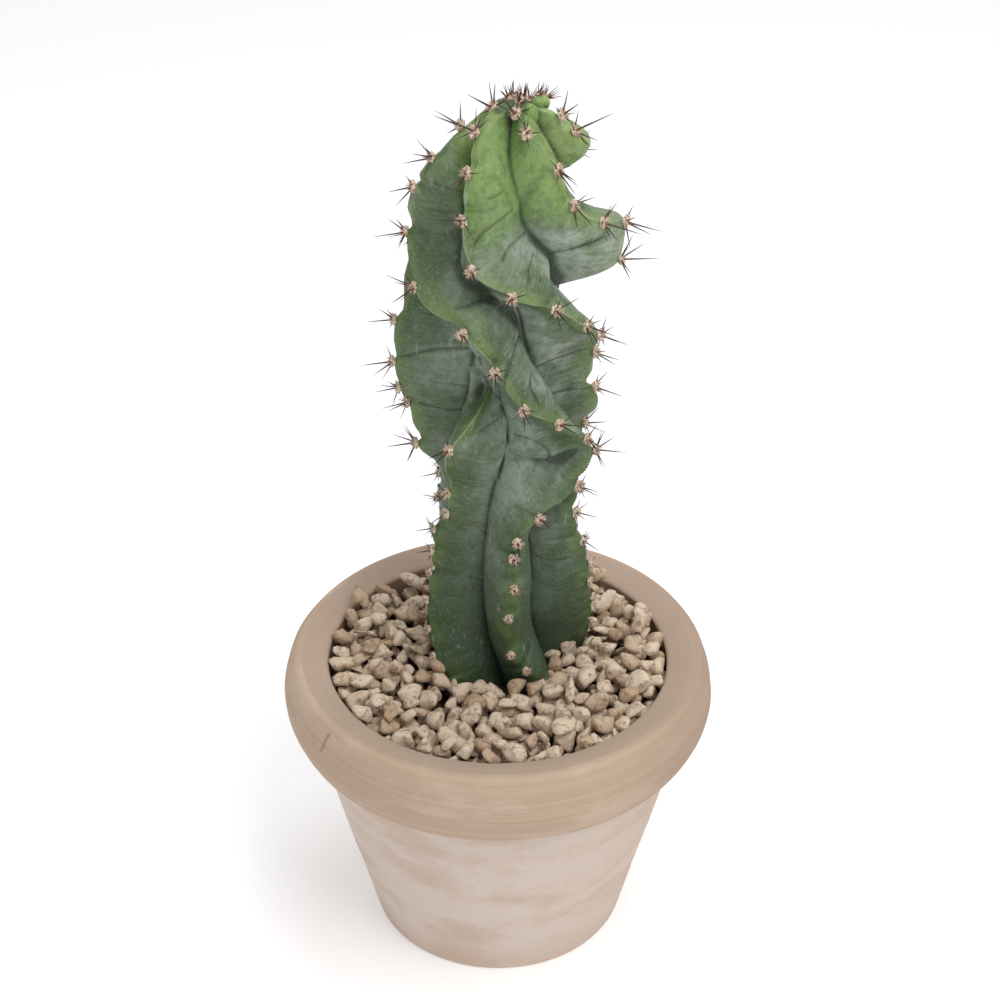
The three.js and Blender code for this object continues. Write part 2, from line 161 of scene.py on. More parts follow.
def lumps(points, size, seed):
    """Smooth random values from -1 to 1 that change over about that size."""
    place = np.asarray(points, float) / size + 1000.0
    cell = np.floor(place).astype(np.int64)
    share = place - cell
    share = share * share * (3 - 2 * share)
    total = 0
    for corner in np.ndindex(2, 2, 2):
        east, north, up = (cell + corner).astype(np.uint64).T
        mixed = east * np.uint64(73856093) ^ north * np.uint64(19349663) ^ up * np.uint64(83492791)
        mixed ^= np.uint64(seed * 2654435761 % 2 ** 32)
        mixed = (mixed ^ mixed >> np.uint64(13)) * np.uint64(1274126177)
        value = ((mixed ^ mixed >> np.uint64(16)) & np.uint64(65535)) / 32767.5 - 1
        total = total + value * np.prod(np.where(corner, share, 1 - share), axis=1)
    return total


def smooth_path(points, steps):
    """A centripetal spline through the points, with that many steps between two of them."""
    p = np.asarray(points, float)
    p = np.vstack([2 * p[0] - p[1], p, 2 * p[-1] - p[-2]])
    rows = []
    for i in range(1, len(p) - 2):
        chords = np.linalg.norm(np.diff(p[i - 1:i + 3], axis=0), axis=1)
        knots = np.concatenate([[0], np.cumsum(chords ** 0.5)])
        t = np.linspace(knots[1], knots[2], steps, endpoint=False)[:, None]
        level = [p[i - 1 + k] for k in range(4)]
        for span in (1, 2):
            level = [((knots[k + span] - t) * level[k] + (t - knots[k]) * level[k + 1])
                     / (knots[k + span] - knots[k]) for k in range(len(level) - 1)]
        rows.append(((knots[2] - t) * level[0] + (t - knots[1]) * level[1]) / (knots[2] - knots[1]))
    rows.append(p[-2][None])
    return np.vstack(rows)


def even_path(points, count):
    """The smooth path through the points, walked in that many equal steps."""
    path = smooth_path(points, 12)
    run = np.concatenate([[0], np.cumsum(np.linalg.norm(np.diff(path, axis=0), axis=1))])
    wanted = np.linspace(0, run[-1], count + 1)
    return np.stack([np.interp(wanted, run, path[:, k]) for k in range(path.shape[1])], -1)


def ring_faces(rings, sides):
    """Quads between rings of points that close on themselves."""
    ring, side = np.meshgrid(np.arange(rings - 1), np.arange(sides), indexing="ij")
    nxt = (side + 1) % sides
    return np.stack([ring * sides + side, ring * sides + nxt, (ring + 1) * sides + nxt,
                     (ring + 1) * sides + side], -1).reshape(-1, 4)


def closed_faces(rings, sides):
    """The same, with the last ring joined to the first."""
    ring = np.arange(sides)
    nxt = (ring + 1) % sides
    last = (rings - 1) * sides
    return np.vstack([ring_faces(rings, sides), np.stack([last + ring, last + nxt, nxt, ring], -1)])


def around(profile, sides):
    """Points of a profile of (radius, height) turned about the Z axis, ring by ring."""
    angle = np.arange(sides) * 2 * math.pi / sides
    return np.stack([profile[:, :1] * np.sin(angle), -profile[:, :1] * np.cos(angle),
                     np.repeat(profile[:, 1:2], sides, 1)], -1).reshape(-1, 3)


def set_mask(piece, name, values):
    """A value from 0 to 1 at each vertex, for the piece's material to read."""
    made = piece.data.attributes.new(name, "FLOAT", "POINT")
    made.data.foreach_set("value", np.asarray(values, np.float32))


profile = np.vstack([even_path(points, steps)[:-1] for steps, points in POT_RUNS])
pot_points = around(profile, POT_SIDES)
radius = np.hypot(pot_points[:, 0], pot_points[:, 1])
outward = pot_points[:, :2] / radius[:, None]
pot_bearing = np.degrees(np.arctan2(pot_points[:, 0], -pot_points[:, 1]))
outside = (radius > FOOT_RADIUS) & np.repeat(np.arange(len(profile)) < OUTER_RINGS, POT_SIDES)
throwing = (lumps(pot_points * (0.01, 0.01, 1), 1.3, 5) * 0.10
            + lumps(pot_points * (0.02, 0.02, 1), 3.1, 6) * 0.13)
shift = np.where(radius > HOLE_CLEAR, throwing + lumps(pot_points, 60, 7) * WOBBLE, 0)
collar_line = np.exp(-((pot_points[:, 2] - LINE_HEIGHT) / LINE_WIDTH) ** 2) * (radius > COLLAR_RADIUS)
shift += LINE_RISE * collar_line * (0.6 + 0.4 * lumps(pot_points, 30, 8))
chipped = np.zeros(len(pot_points))
for bearing, height, half_width, half_height in CHIPS:
    aside = (pot_bearing - bearing) * radius * math.pi / 180 / half_width
    upright = (pot_points[:, 2] - height) / half_height
    edge = 1 + 0.5 * lumps(pot_points, 4, 9)
    chipped = np.maximum(chipped, np.clip((edge - np.hypot(aside, upright)) * 3, 0, 1) * outside)
shift -= chipped * (CHIP_DEPTH + 0.6 * lumps(pot_points, 2.2, 10))
above_crease = pot_points[:, 2] - CREASE_HEIGHT
crease_run = (pot_bearing - CREASE_BEARING - above_crease * CREASE_SLANT) * 2.0
crease = np.exp(-(crease_run / 0.7) ** 2) * (np.abs(above_crease) < CREASE_HALF_LENGTH) * outside
shift -= CREASE_DEPTH * crease
pot_points[:, :2] += outward * shift[:, None]
pot = mesh_object("terracotta_pot", pot_points, closed_faces(len(profile), POT_SIDES))
set_mask(pot, "chipped", chipped)
set_mask(pot, "crease_shade", crease)


def node(tree, kind, inputs=None, **settings):
    """A shader node with its settings. Its inputs are values or other nodes' outputs."""
    made = tree.nodes.new("ShaderNode" + kind)
    for name, value in settings.items():
        setattr(made, name, value)
    for name, value in (inputs or {}).items():
        if isinstance(value, bpy.types.NodeSocket):
            tree.links.new(value, made.inputs[name])
        else:
            made.inputs[name].default_value = value
    return made


def ramp(tree, value, low, high, to_low=0.0, to_high=1.0):
    """The value's place between low and high, smoothed and kept from to_low to to_high."""
    made = node(tree, "MapRange", {"Value": value, "From Min": low, "From Max": high,
                                   "To Min": to_low, "To Max": to_high}, interpolation_type="SMOOTHSTEP")
    return made.outputs["Result"]


def maths(tree, operation, first, second):
    return node(tree, "Math", {0: first, 1: second}, operation=operation).outputs[0]


def times(tree, first, second):
    return maths(tree, "MULTIPLY", first, second)


def plus(tree, first, second):
    return maths(tree, "ADD", first, second)


def mix(tree, share, first, second):
    """Two colours blended by a share. Colours are triples or other nodes' outputs."""
    full = [c if isinstance(c, bpy.types.NodeSocket) else (*c, 1) for c in (first, second)]
    return node(tree, "Mix", {0: share, 6: full[0], 7: full[1]}, data_type="RGBA").outputs[2]


def cloud(tree, place, scale, detail, roughness, stretch=(1, 1, 1)):
    """Fractal noise from 0 to 1 at a scale per metre, stretched along the axes."""
    placed = node(tree, "Mapping", {"Vector": place, "Scale": stretch}).outputs["Vector"]
    return node(tree, "TexNoise", {"Vector": placed, "Scale": scale, "Detail": detail,
                                   "Roughness": roughness}).outputs["Fac"]


def bumped(tree, shader, height, distance, strength=1.0):
    """Relief on the shader's normal. The distance is in metres."""
    relief = node(tree, "Bump", {"Height": height, "Distance": distance, "Strength": strength})
    tree.links.new(relief.outputs["Normal"], shader.inputs["Normal"])


def fill_in(tree, shader, colour, roughness, specular=0.35):
    tree.links.new(colour, shader.inputs["Base Color"])
    if isinstance(roughness, bpy.types.NodeSocket):
        tree.links.new(roughness, shader.inputs["Roughness"])
    else:
        shader.inputs["Roughness"].default_value = roughness
    shader.inputs["Specular IOR Level"].default_value = specular


# Open mineral grain, shared by the clay, the soil and the stones: pores darken it and pit it.
grain_group = bpy.data.node_groups.new("mineral_grain", "ShaderNodeTree")
for socket, direction in (("Grains per metre", "INPUT"), ("Tone", "OUTPUT"), ("Relief", "OUTPUT")):
    grain_group.interface.new_socket(socket, in_out=direction, socket_type="NodeSocketFloat")
fineness = grain_group.nodes.new("NodeGroupInput").outputs[0]
grain_out = grain_group.nodes.new("NodeGroupOutput")
grain_place = node(grain_group, "TexCoord").outputs["Object"]
grain_cloud = node(grain_group, "TexNoise", {"Vector": grain_place, "Scale": fineness,
                                             "Detail": 3.0, "Roughness": 0.65}).outputs["Fac"]
grain_pores = node(grain_group, "TexVoronoi", {"Vector": grain_place, "Scale": fineness}).outputs["Distance"]
grain_relief = plus(grain_group, times(grain_group, grain_cloud, 0.8),
                    ramp(grain_group, grain_pores, 0.05, 0.42, 0.0, 0.35))
grain_group.links.new(ramp(grain_group, grain_cloud, 0.32, 0.68), grain_out.inputs["Tone"])
grain_group.links.new(grain_relief, grain_out.inputs["Relief"])


def grain(tree, per_metre):
    """The grain's tone and relief at that fineness."""
    placed = tree.nodes.new("ShaderNodeGroup")
    placed.node_tree = grain_group
    placed.inputs[0].default_value = per_metre
    return placed.outputs["Tone"], placed.outputs["Relief"]


def mask_of(tree, name):
    return node(tree, "Attribute", attribute_name=name).outputs["Fac"]


clay_material, tree, shader = new_material("limed_terracotta")
place = node(tree, "TexCoord").outputs["Object"]
axes = node(tree, "SeparateXYZ", {"Vector": place}).outputs
tone, relief = grain(tree, 900.0)
smears = cloud(tree, place, 14.0, 5.0, 0.6, (1, 1, 2.6))
blotches = cloud(tree, place, 30.0, 4.0, 0.6, (1, 1, 1.8))
lines = cloud(tree, place, 26.0, 3.0, 0.6, (0.12, 0.12, 26.0))
fine_lines = cloud(tree, place, 60.0, 2.0, 0.5, (0.05, 0.05, 24.0))

# The body: warm clay under a pale lime bloom, warmer again where it stands on the table.
bloom_and_side_shade = ramp(tree, plus(tree, times(tree, smears, 0.65), times(tree, blotches, 0.35)), 0.40, 0.56)
# The bloom is thinned towards +X, so the body's right side is painted darker: painted shade.
bloom_and_side_shade = times(tree, bloom_and_side_shade, ramp(tree, axes["X"], 0.02, 0.09, 1.0, 0.55))
body = mix(tree, bloom_and_side_shade, (0.560, 0.440, 0.355), (0.640, 0.540, 0.478))
body = mix(tree, ramp(tree, axes["Z"], 0.030, 0.004, 0.0, 0.45), body, (0.56, 0.42, 0.325))

# The collar: turned bands, scored lines, dark grit specks, a few pale smears, and painted shade on its right
# side.
collar = mix(tree, ramp(tree, lines, 0.38, 0.62), (0.460, 0.335, 0.245), (0.500, 0.372, 0.276))
scored = times(tree, ramp(tree, fine_lines, 0.60, 0.68, 0.0, 0.30), ramp(tree, axes["Z"], 0.166, 0.154))
collar = mix(tree, scored, collar, (0.34, 0.22, 0.15))
grit_specks = node(tree, "TexVoronoi", {"Vector": place, "Scale": 26.0}).outputs["Distance"]
collar = mix(tree, ramp(tree, grit_specks, 0.026, 0.020), collar, (0.07, 0.05, 0.04))
collar = mix(tree, ramp(tree, smears, 0.50, 0.66, 0.0, 0.45), collar, (0.62, 0.49, 0.39))
# Painted shade: the collar is darkened towards +X, on its right side.
collar = mix(tree, ramp(tree, axes["X"], 0.050, 0.115, 0.0, 0.55), collar, (0.300, 0.205, 0.150))
clay = mix(tree, ramp(tree, axes["Z"], 0.1338, 0.1352), body, collar)

# The bevel inside the collar is darker, and so are the pores and the chips; the crease is darkened with
# painted shade.
level = node(tree, "CombineXYZ", {"X": axes["X"], "Y": axes["Y"]}).outputs[0]
middle = node(tree, "VectorMath", {0: level}, operation="LENGTH").outputs["Value"]
bevel = times(tree, ramp(tree, middle, 0.1102, 0.1088), ramp(tree, axes["Z"], 0.150, 0.160))
bevel_clay = mix(tree, smears, (0.36, 0.265, 0.205), (0.46, 0.355, 0.285))
clay = mix(tree, times(tree, bevel, 0.85), clay, bevel_clay)
clay = mix(tree, times(tree, tone, 0.16), clay, (0.40, 0.30, 0.23))
# Painted shade in the pressed crease.
clay = mix(tree, mask_of(tree, "crease_shade"), clay, (0.24, 0.17, 0.12))
bare_clay = mix(tree, tone, (0.11, 0.055, 0.04), (0.25, 0.15, 0.11))
clay = mix(tree, mask_of(tree, "chipped"), clay, bare_clay)
fill_in(tree, shader, clay, ramp(tree, bloom_and_side_shade, 0.0, 1.0, 0.82, 0.93), 0.25)
bumped(tree, shader, plus(tree, times(tree, relief, 0.35), times(tree, fine_lines, 0.5)), 0.00022, 0.7)
pot.data.materials.append(clay_material)
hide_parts("pot")
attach(pot, "root")

# --- Drainage shard and soil -------------------------------------------------------------------
# Under the soil a curved shard of an old pot keeps the drain hole open. The soil is dark peat and
# grit, firmed round the buried foot of the stem.
shard_material, tree, shader = new_material("old_terracotta")
tone, relief = grain(tree, 700.0)
shard_clay = mix(tree, tone, (0.30, 0.13, 0.07), (0.47, 0.23, 0.13))
fill_in(tree, shader, shard_clay, 0.9)
bumped(tree, shader, relief, 0.0004)
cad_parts["drainage_crock"].data.materials.clear()
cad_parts["drainage_crock"].data.materials.append(shard_material)

soil_material, tree, shader = new_material("peat_and_grit")
tone, relief = grain(tree, 420.0)
crumbs = cloud(tree, node(tree, "TexCoord").outputs["Object"], 160.0, 6.0, 0.7)
soil = mix(tree, ramp(tree, crumbs, 0.35, 0.65), (0.018, 0.012, 0.008), (0.060, 0.042, 0.030))
soil = mix(tree, ramp(tree, tone, 0.86, 1.0, 0.0, 0.6), soil, (0.28, 0.23, 0.17))
fill_in(tree, shader, soil, 0.97, 0.15)
bumped(tree, shader, plus(tree, relief, crumbs), 0.0016)
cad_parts["potting_soil"].data.materials.clear()
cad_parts["potting_soil"].data.materials.append(soil_material)

# --- Stem ---------------------------------------------------------------------------------
# One grown column of tough green tissue under a waxy skin. Its ribs twist one way from the crown
# to mid height and then turn back, with a hook-shaped bulge where one rib has grown out.
MIDDLE = [(114, 4, 8), (230, 4, 8), (300, 3, 6), (360, 0, 4), (420, 4, 4), (499, 10, 4)]
GROOVE = [(114, 9), (150, 13), (175, 16), (210, 20), (300, 20), (345, 19), (385, 22), (430, 25),
          (462, 24), (482, 18), (492, 11), (499, 5)]

# How full a flank is: near 2 it bulges, below 1 it drops steeply beside the crest and runs out flat.
# The columns are for an upright rib, and for the broad and the steep side of a leaning one.
FULLNESS = [(114, 1.1, 1.1, 1.1), (260, 1.1, 1.2, 1.0), (300, 1.0, 1.2, 0.9), (335, 1.0, 1.2, 0.62),
            (400, 0.95, 1.3, 0.6), (445, 1.0, 1.5, 0.62), (470, 1.3, 1.7, 0.8), (497, 1.6, 1.8, 1.2)]

# Ribs whose crest leans over: 1 leans down and to the left of its run, -1 to the right.
LEAN = {"left_front": 1, "front": 1, "hook": -1}

# The skin never reaches beyond this rounded crown: height, distance from the middle line.
CROWN = [(455, 62), (470, 52), (480, 44), (487, 36), (492, 28), (495, 19), (497, 8)]

# Local swells and dents of the skin: height, bearing, amount, spread.
SWELLS = [(352, -28, -4, 12), (426, 88, 12, 15), (439, 92, 12, 9), (478, 84, 8, 11), (328, 96, 3, 9),
          (312, 106, 5, 9), (409, 48, -8, 7), (416, 38, -4, 6), (418, -38, 10, 14), (404, -8, 7, 10)]

# Outlines that the skin keeps inside on one side: bearing, half width in degrees, then heights with
# their distance from the middle line. Those on the right undercut the hook and neck in above it.
OUTLINES = [
    (106, 46, [(378, 64), (390, 44), (396, 25), (401, 24), (405, 35), (409, 52), (416, 59), (441, 60),
               (444, 56), (446, 46), (449, 33), (454, 28), (461, 24), (464, 25), (467, 31), (470, 35),
               (476, 36.5), (479, 35.5), (482, 31), (485, 24), (488, 17), (497, 9)]),
    (-88, 36, [(262, 60), (270, 38), (290, 35), (296, 39), (300, 48), (308, 55), (325, 66), (440, 66),
               (452, 52), (461, 51), (464, 50.5), (467, 47.5), (470, 45.5), (473, 42), (476, 38),
               (480, 34.5), (483, 32.5), (486, 26.5), (489, 20.5), (497, 9)]),
    (116, 32, [(424, 90), (430, 66), (434, 57), (436, 46), (438, 34), (441, 29), (454, 27), (462, 26),
               (468, 60), (497, 60)]),
    (96, 21, [(434, 90), (439, 64), (442, 56), (443.5, 44), (445, 34), (448, 30), (455, 28), (462, 26),
              (468, 60), (497, 60)]),
]

# Crests from the crown down: height, bearing in degrees from the front towards +X, reach.
# A fourth value of 0 marks a bend that carries no areole.
RIBS = {
    "left_front": [
        (499, -110, 9, 0), (486, -74, 29), (473, -72, 44), (457, -78, 50), (430, -86, 50),
        (411, -60, 49), (397, -22, 50), (376, -3, 49), (355, 14, 50), (342, 36, 50),
        (324, 60, 50), (303, 88, 48), (292, 62, 43), (283, 25, 42), (270, 9, 42), (260, 6, 42),
        (240, 6, 42), (220, 2, 40), (194, 4, 38), (182, 17, 38), (169, 36, 39),
        (150, 44, 32, 0), (114, 45, 12, 0)],
    "front": [
        (499, -60, 10), (489, -41, 29), (474, -34, 40), (452, -31, 45), (430, -20, 48),
        (417, 3, 49), (407, 30, 50), (391, 56, 50), (376, 80, 51), (362, 88, 49), (338, 96, 48),
        (322, 104, 49.5, 0), (306, 116, 46), (296, 104, 43, 0), (284, 78, 40.5), (275, 62, 42), (256, 66, 45),
        (235, 77, 47), (222, 79, 46), (209, 84, 48), (198, 90, 48), (184, 98, 48),
        (170, 104, 47, 0), (150, 106, 38, 0), (114, 106, 12, 0)],
    "hook": [
        (499, -5, 9), (488, 10, 22), (471, 42, 30), (454, 50, 38), (444, 63, 49), (441, 75, 57),
        (416, 85, 54), (406, 110, 41, 0), (392, 146, 40), (368, 162, 45), (342, 174, 46),
        (318, 184, 45), (296, 164, 43), (276, 138, 42), (250, 134, 44), (224, 140, 45),
        (198, 146, 45), (172, 150, 44, 0), (150, 150, 36, 0), (114, 150, 12, 0)],
    "right_back": [
        (492, 60, 22), (484, 72, 30), (478, 88, 35, 0), (467, 114, 34), (452, 142, 38),
        (428, 166, 43), (402, 190, 46), (378, 216, 47), (352, 232, 46), (326, 238, 45),
        (302, 226, 43), (276, 200, 42), (250, 192, 44), (224, 194, 45), (198, 198, 45),
        (172, 198, 44, 0), (150, 198, 36, 0), (114, 198, 12, 0)],
    "left": [
        (499, 170, 9, 0), (480, 188, 25), (460, 208, 38), (440, 232, 45), (422, 252, 47),
        (400, 264, 51, 0), (380, 270, 54), (358, 274, 54), (343, 275, 52), (334, 275, 48),
        (307, 271, 46), (294, 262, 43, 0), (280, 250, 42), (258, 240, 42), (232, 238, 44),
        (206, 243, 46), (180, 248, 48), (164, 250, 47, 0), (150, 250, 38, 0), (114, 250, 12, 0)],
    "low_left": [
        (350, -16, 19, 0), (339, -24, 32, 0), (324, -36, 45), (306, -47, 41, 0), (288, -54, 37),
        (273, -60, 36), (260, -71, 40), (243, -77, 40.5), (228, -77, 42), (213, -73, 45),
        (197, -66, 46), (182, -59, 46), (169, -48, 44), (150, -46, 36, 0), (114, -46, 12, 0)],
}
MM_PER_DEGREE = 0.7
FULL_TURN = 360 * MM_PER_DEGREE
CREST_STEPS = 8
STEM_SIDES = 600
STEM_RINGS = 560
STEM_LOW, STEM_TOP = 114.0, 497.0
FOOT_ROUNDING, TOP_ROUNDING = 4, 0.6
SKIN_BATCHES = 40
NOTCH_DEPTH = 2.6
CREST_ROUNDING = 0.002
SHALLOWEST_GROOVE = 0.92
SIDE_BLEND = 3
LIMIT_POWER = 16
OUTLINE_CORE = 0.55
LEAST_REACH = 3
CREST_WINDOW = 75
FLANK_SWELL = 0.7
WRINKLE_DEPTH = 0.32

# Single folds of the skin: depth, half width, then the run as (bearing, height).
FOLDS = [
    (1.8, 1.0, [(-84, 362), (-66, 371), (-52, 372), (-40, 370), (-32, 362)]),
    (1.2, 0.9, [(-68, 351), (-62, 350), (-56, 348)]),
    (1.4, 0.9, [(-80, 335), (-72, 334), (-64, 333), (-50, 336)]),
    (1.4, 0.9, [(-21, 331), (-13, 333), (-3, 334)]),
    (1.8, 0.8, [(4, 339), (9, 331), (8, 320), (3, 313), (-2, 306), (-8, 297)]),
    (1.6, 1.0, [(16, 325), (27, 325), (36, 322), (48, 314), (60, 304)]),
    (1.6, 1.0, [(62, 358), (69, 362), (77, 364), (84, 366)]),
    (1.3, 0.9, [(80, 338), (88, 339), (94, 338)]),
    (1.4, 1.0, [(-30, 407), (-22, 408), (-15, 408), (-9, 407)]),
    (1.5, 1.0, [(-22, 441), (-19, 446), (-12, 450), (-4, 453), (1, 454)]),
    (1.3, 0.9, [(-4, 433), (-1, 438), (7, 440), (16, 440)]),
    (1.3, 0.9, [(14, 421), (15, 426), (18, 429), (22, 431)]),
    (0.7, 0.8, [(-18, 462), (-11, 463)]),
    (1.0, 0.9, [(-70, 464), (-64, 461), (-58, 457)]),
    (0.9, 0.9, [(-69, 447), (-62, 446)]),
    (2.2, 1.0, [(4, 372), (9, 381), (17, 384), (26, 379), (30, 371), (24, 362), (27, 354)]),
    (1.8, 0.9, [(5, 380), (3, 372), (4, 364), (9, 357)]),
    (1.8, 0.8, [(12, 402), (20, 393), (27, 384), (34, 377), (41, 371)]),
    (1.0, 0.9, [(14, 286), (28, 284), (40, 287)]),
    (0.9, 0.9, [(-34, 262), (-22, 258), (-12, 260)]),
    (0.9, 0.9, [(40, 246), (52, 243), (60, 244)]),
    (0.8, 0.9, [(-48, 231), (-36, 228), (-26, 230)]),
]
# Deep pinches where two ribs meet: height, bearing, amount, spread.
PINCHES = [(347, -34, -5, 5), (339, 2, -2, 4), (372, 40, -2, 4)]


def reading(table, key, column=1):
    """Linear reading of a table whose rows are (key, value, ...)."""
    return np.interp(key, [row[0] for row in table], [row[column] for row in table])


def smoothstep(low, high, value):
    share = np.clip((value - low) / (high - low), 0, 1)
    return share * share * (3 - 2 * share)


def turn_between(bearing, side):
    """Degrees from a side to a bearing, the short way round."""
    return (bearing - side + 180) % 360 - 180


def away_from(x, z, path):
    """Distance from each (x, z) on the unrolled stem to a run of points, with the nearest place on it."""
    a, b = path[:-1], path[1:]
    side = x[:, None] - a[:, 0]
    side -= FULL_TURN * np.round(side / FULL_TURN)
    rise = z[:, None] - a[:, 1]
    step = b - a
    along = np.clip((side * step[:, 0] + rise * step[:, 1]) / (step ** 2).sum(1), 0, 1)
    away = np.hypot(side - along * step[:, 0], rise - along * step[:, 1])
    best = away.argmin(1)
    pick = np.arange(len(x))
    beside = (step[best, 0] * rise[pick, best] - step[best, 1] * side[pick, best]) / np.hypot(*step[best].T)
    return away[pick, best], best, along[pick, best], beside


class Crest:
    """One rib's crest on the unrolled stem, with its areoles' numbers and the notches between them."""

    def __init__(self, rib, lean):
        self.lean = lean
        path = smooth_path([(row[1] * MM_PER_DEGREE, row[0], row[2]) for row in rib], CREST_STEPS)
        self.place, self.reach = path[:, :2], path[:, 2]
        marks = [i * CREST_STEPS for i, row in enumerate(rib) if len(row) == 3]
        run = np.concatenate([[0], np.cumsum(np.linalg.norm(np.diff(self.place, axis=0), axis=1))])
        self.number = np.interp(run, run[marks], np.arange(len(marks)))
        share = self.number - np.floor(self.number)
        gap = np.interp(run, run[marks], np.append(np.diff(run[marks]), 20))
        depth = np.clip(gap / 18, 0.4, 1.3) * (0.75 + 0.35 * np.sin(4.7 * np.floor(self.number) + rib[2][1]))
        self.notch = smoothstep(0.45, 0.86, share) * (1 - smoothstep(0.88, 1.0, share)) * depth

    def nearest(self, x, z):
        """Distance, reach, notch, areole number and side at the crest's nearest point to each (x, z)."""
        near = (self.place[:, 1] > z.min() - CREST_WINDOW) & (self.place[:, 1] < z.max() + CREST_WINDOW)
        if near.sum() < 2:
            return np.full(x.shape, 1e3), np.full(x.shape, 20.0), *np.zeros((3, len(x)))
        first, last = np.flatnonzero(near)[[0, -1]]
        away, best, share, beside = away_from(x, z, self.place[first:last + 1])
        found = []
        for values in (self.reach, self.notch, self.number):
            values = values[first:last + 1]
            found.append(values[best] * (1 - share) + values[best + 1] * share)
        return away, *found, beside


CRESTS = [Crest(rib, LEAN.get(name, 0)) for name, rib in RIBS.items()]
FOLD_PATHS = [(depth, width, smooth_path([(b * MM_PER_DEGREE, z) for b, z in run], 5))
              for depth, width, run in FOLDS]


def skin_reach(bearing, z):
    """The skin's reach from the middle line, place down its flank, depth in a fold and areole number."""
    x = bearing * MM_PER_DEGREE
    found = np.array([crest.nearest(x, z) for crest in CRESTS])
    order = found[:, 0].argsort(0)
    pick = np.arange(len(x))
    away, reach, notch, number, beside = (found[order[0], k, pick] for k in range(5))
    lean = np.array([crest.lean for crest in CRESTS])[order[0]]
    side_of = lean * np.clip(beside / SIDE_BLEND, -1, 1)
    second = found[order[1], 0, pick]
    down = 2 * away / (away + second)
    groove = np.minimum(reading(GROOVE, z), reach * SHALLOWEST_GROOVE)
    crest_reach = reach - NOTCH_DEPTH * notch * np.clip(1 - down, 0.1, 1) ** 1.5
    upright, broad, steep = (reading(FULLNESS, z, column) for column in (1, 2, 3))
    fullness = upright + side_of * np.where(side_of > 0, broad - upright, upright - steep)
    soft = math.sqrt(CREST_ROUNDING)
    fall = (np.sqrt(down ** 2 + CREST_ROUNDING) - soft) / (math.sqrt(1 + CREST_ROUNDING) - soft)
    skin = crest_reach - (crest_reach - groove) * np.clip(fall, 0, 1) ** fullness

    # Flanks swell gently between thin wrinkles that run from the groove towards the crest.
    flank = np.sin(np.pi * np.clip(down, 0, 1)) ** 0.7
    across = np.stack([number * 1.9 + 40 * order[0], (down * 1.1 + 9) * np.sign(beside), z * 0], -1)
    swell = lumps(across, 1.0, 21)
    wrinkle = lumps(across * (1.5, 1.2, 1), 1.0, 22)
    present = smoothstep(0.15, 0.6, lumps(across, 1.4, 23))
    line = np.exp(-(wrinkle / 0.07) ** 2) * present * flank * (1 - smoothstep(462, 480, z))
    skin += FLANK_SWELL * swell * flank - WRINKLE_DEPTH * line
    folded = 0.4 * line
    for depth, width, path in FOLD_PATHS:
        run = away_from(x, z, path)[0]
        lips = 0.25 * np.exp(-((run - 2.6 * width) / (1.8 * width)) ** 2)
        skin += depth * (lips - 0.5 * np.exp(-(run / (0.8 * width)) ** 2))
        folded = np.maximum(folded, np.exp(-(run / (0.6 * width)) ** 2))
    for height, side, amount, spread in SWELLS + PINCHES:
        aside = turn_between(bearing, side) * MM_PER_DEGREE
        skin += amount * np.exp(-(aside ** 2 + (z - height) ** 2) / spread ** 2)
    limits = reading(CROWN, z) ** -LIMIT_POWER
    for side, half_width, outline in OUTLINES:
        share = 1 - smoothstep(OUTLINE_CORE * half_width, half_width, np.abs(turn_between(bearing, side)))
        limits += share * reading(outline, z) ** -LIMIT_POWER
    skin = (np.maximum(skin, LEAST_REACH) ** -LIMIT_POWER + limits) ** (-1 / LIMIT_POWER)
    return skin, down, folded, number


def on_stem(bearing, z, reach):
    """Points at a distance from the stem's middle line."""
    angle = np.radians(bearing)
    return np.stack([reading(MIDDLE, z, 1) + reach * np.sin(angle),
                     reading(MIDDLE, z, 2) - reach * np.cos(angle), z + 0 * angle], -1)


heights = np.linspace(STEM_LOW, STEM_TOP - TOP_ROUNDING, STEM_RINGS)
ring_bearings, ring_heights = np.meshgrid(np.arange(STEM_SIDES) * 360 / STEM_SIDES, heights)
batches = zip(np.array_split(ring_bearings, SKIN_BATCHES), np.array_split(ring_heights, SKIN_BATCHES))
measured = [skin_reach(bearings.ravel(), levels.ravel()) for bearings, levels in batches]
reach, down, folded, areole_run = (np.concatenate([part[k] for part in measured]) for k in range(4))
points = on_stem(ring_bearings.ravel(), ring_heights.ravel(), reach)

# Both ends are rounded over: the foot under the soil, the crown under the youngest areoles.
CAP_SHARES = (0.85, 0.66, 0.42, 0.18)
body_points = points.reshape(STEM_RINGS, STEM_SIDES, 3)
top_centre = body_points[-1].mean(0) + (0, 0, 2 * TOP_ROUNDING)
low_centre = body_points[0].mean(0) - (0, 0, FOOT_ROUNDING)
top_cap = [top_centre + (body_points[-1] - top_centre) * (s, s, s ** 2) for s in CAP_SHARES]
low_cap = [low_centre + (body_points[0] - low_centre) * (s, s, s ** 2) for s in reversed(CAP_SHARES)]
rings = [*low_cap, *body_points, *top_cap]
ring = np.arange(STEM_SIDES)
onward = (ring + 1) % STEM_SIDES
count = len(rings) * STEM_SIDES
low_fan = np.stack([np.full(STEM_SIDES, count), onward, ring], -1)
last = count - STEM_SIDES
top_fan = np.stack([np.full(STEM_SIDES, count + 1), last + ring, last + onward], -1)
stem = mesh_object("cactus_stem", np.vstack([*rings, low_centre, top_centre]),
                   ring_faces(len(rings), STEM_SIDES), np.vstack([low_fan, top_fan]))


def with_caps(values):
    """Values of the body's vertices with the caps' added."""
    rows = values.reshape(STEM_RINGS, STEM_SIDES)
    spare = len(CAP_SHARES)
    return np.concatenate([np.tile(rows[0], spare), rows.ravel(), np.tile(rows[-1], spare),
                           rows[0, :1], rows[-1, :1]])


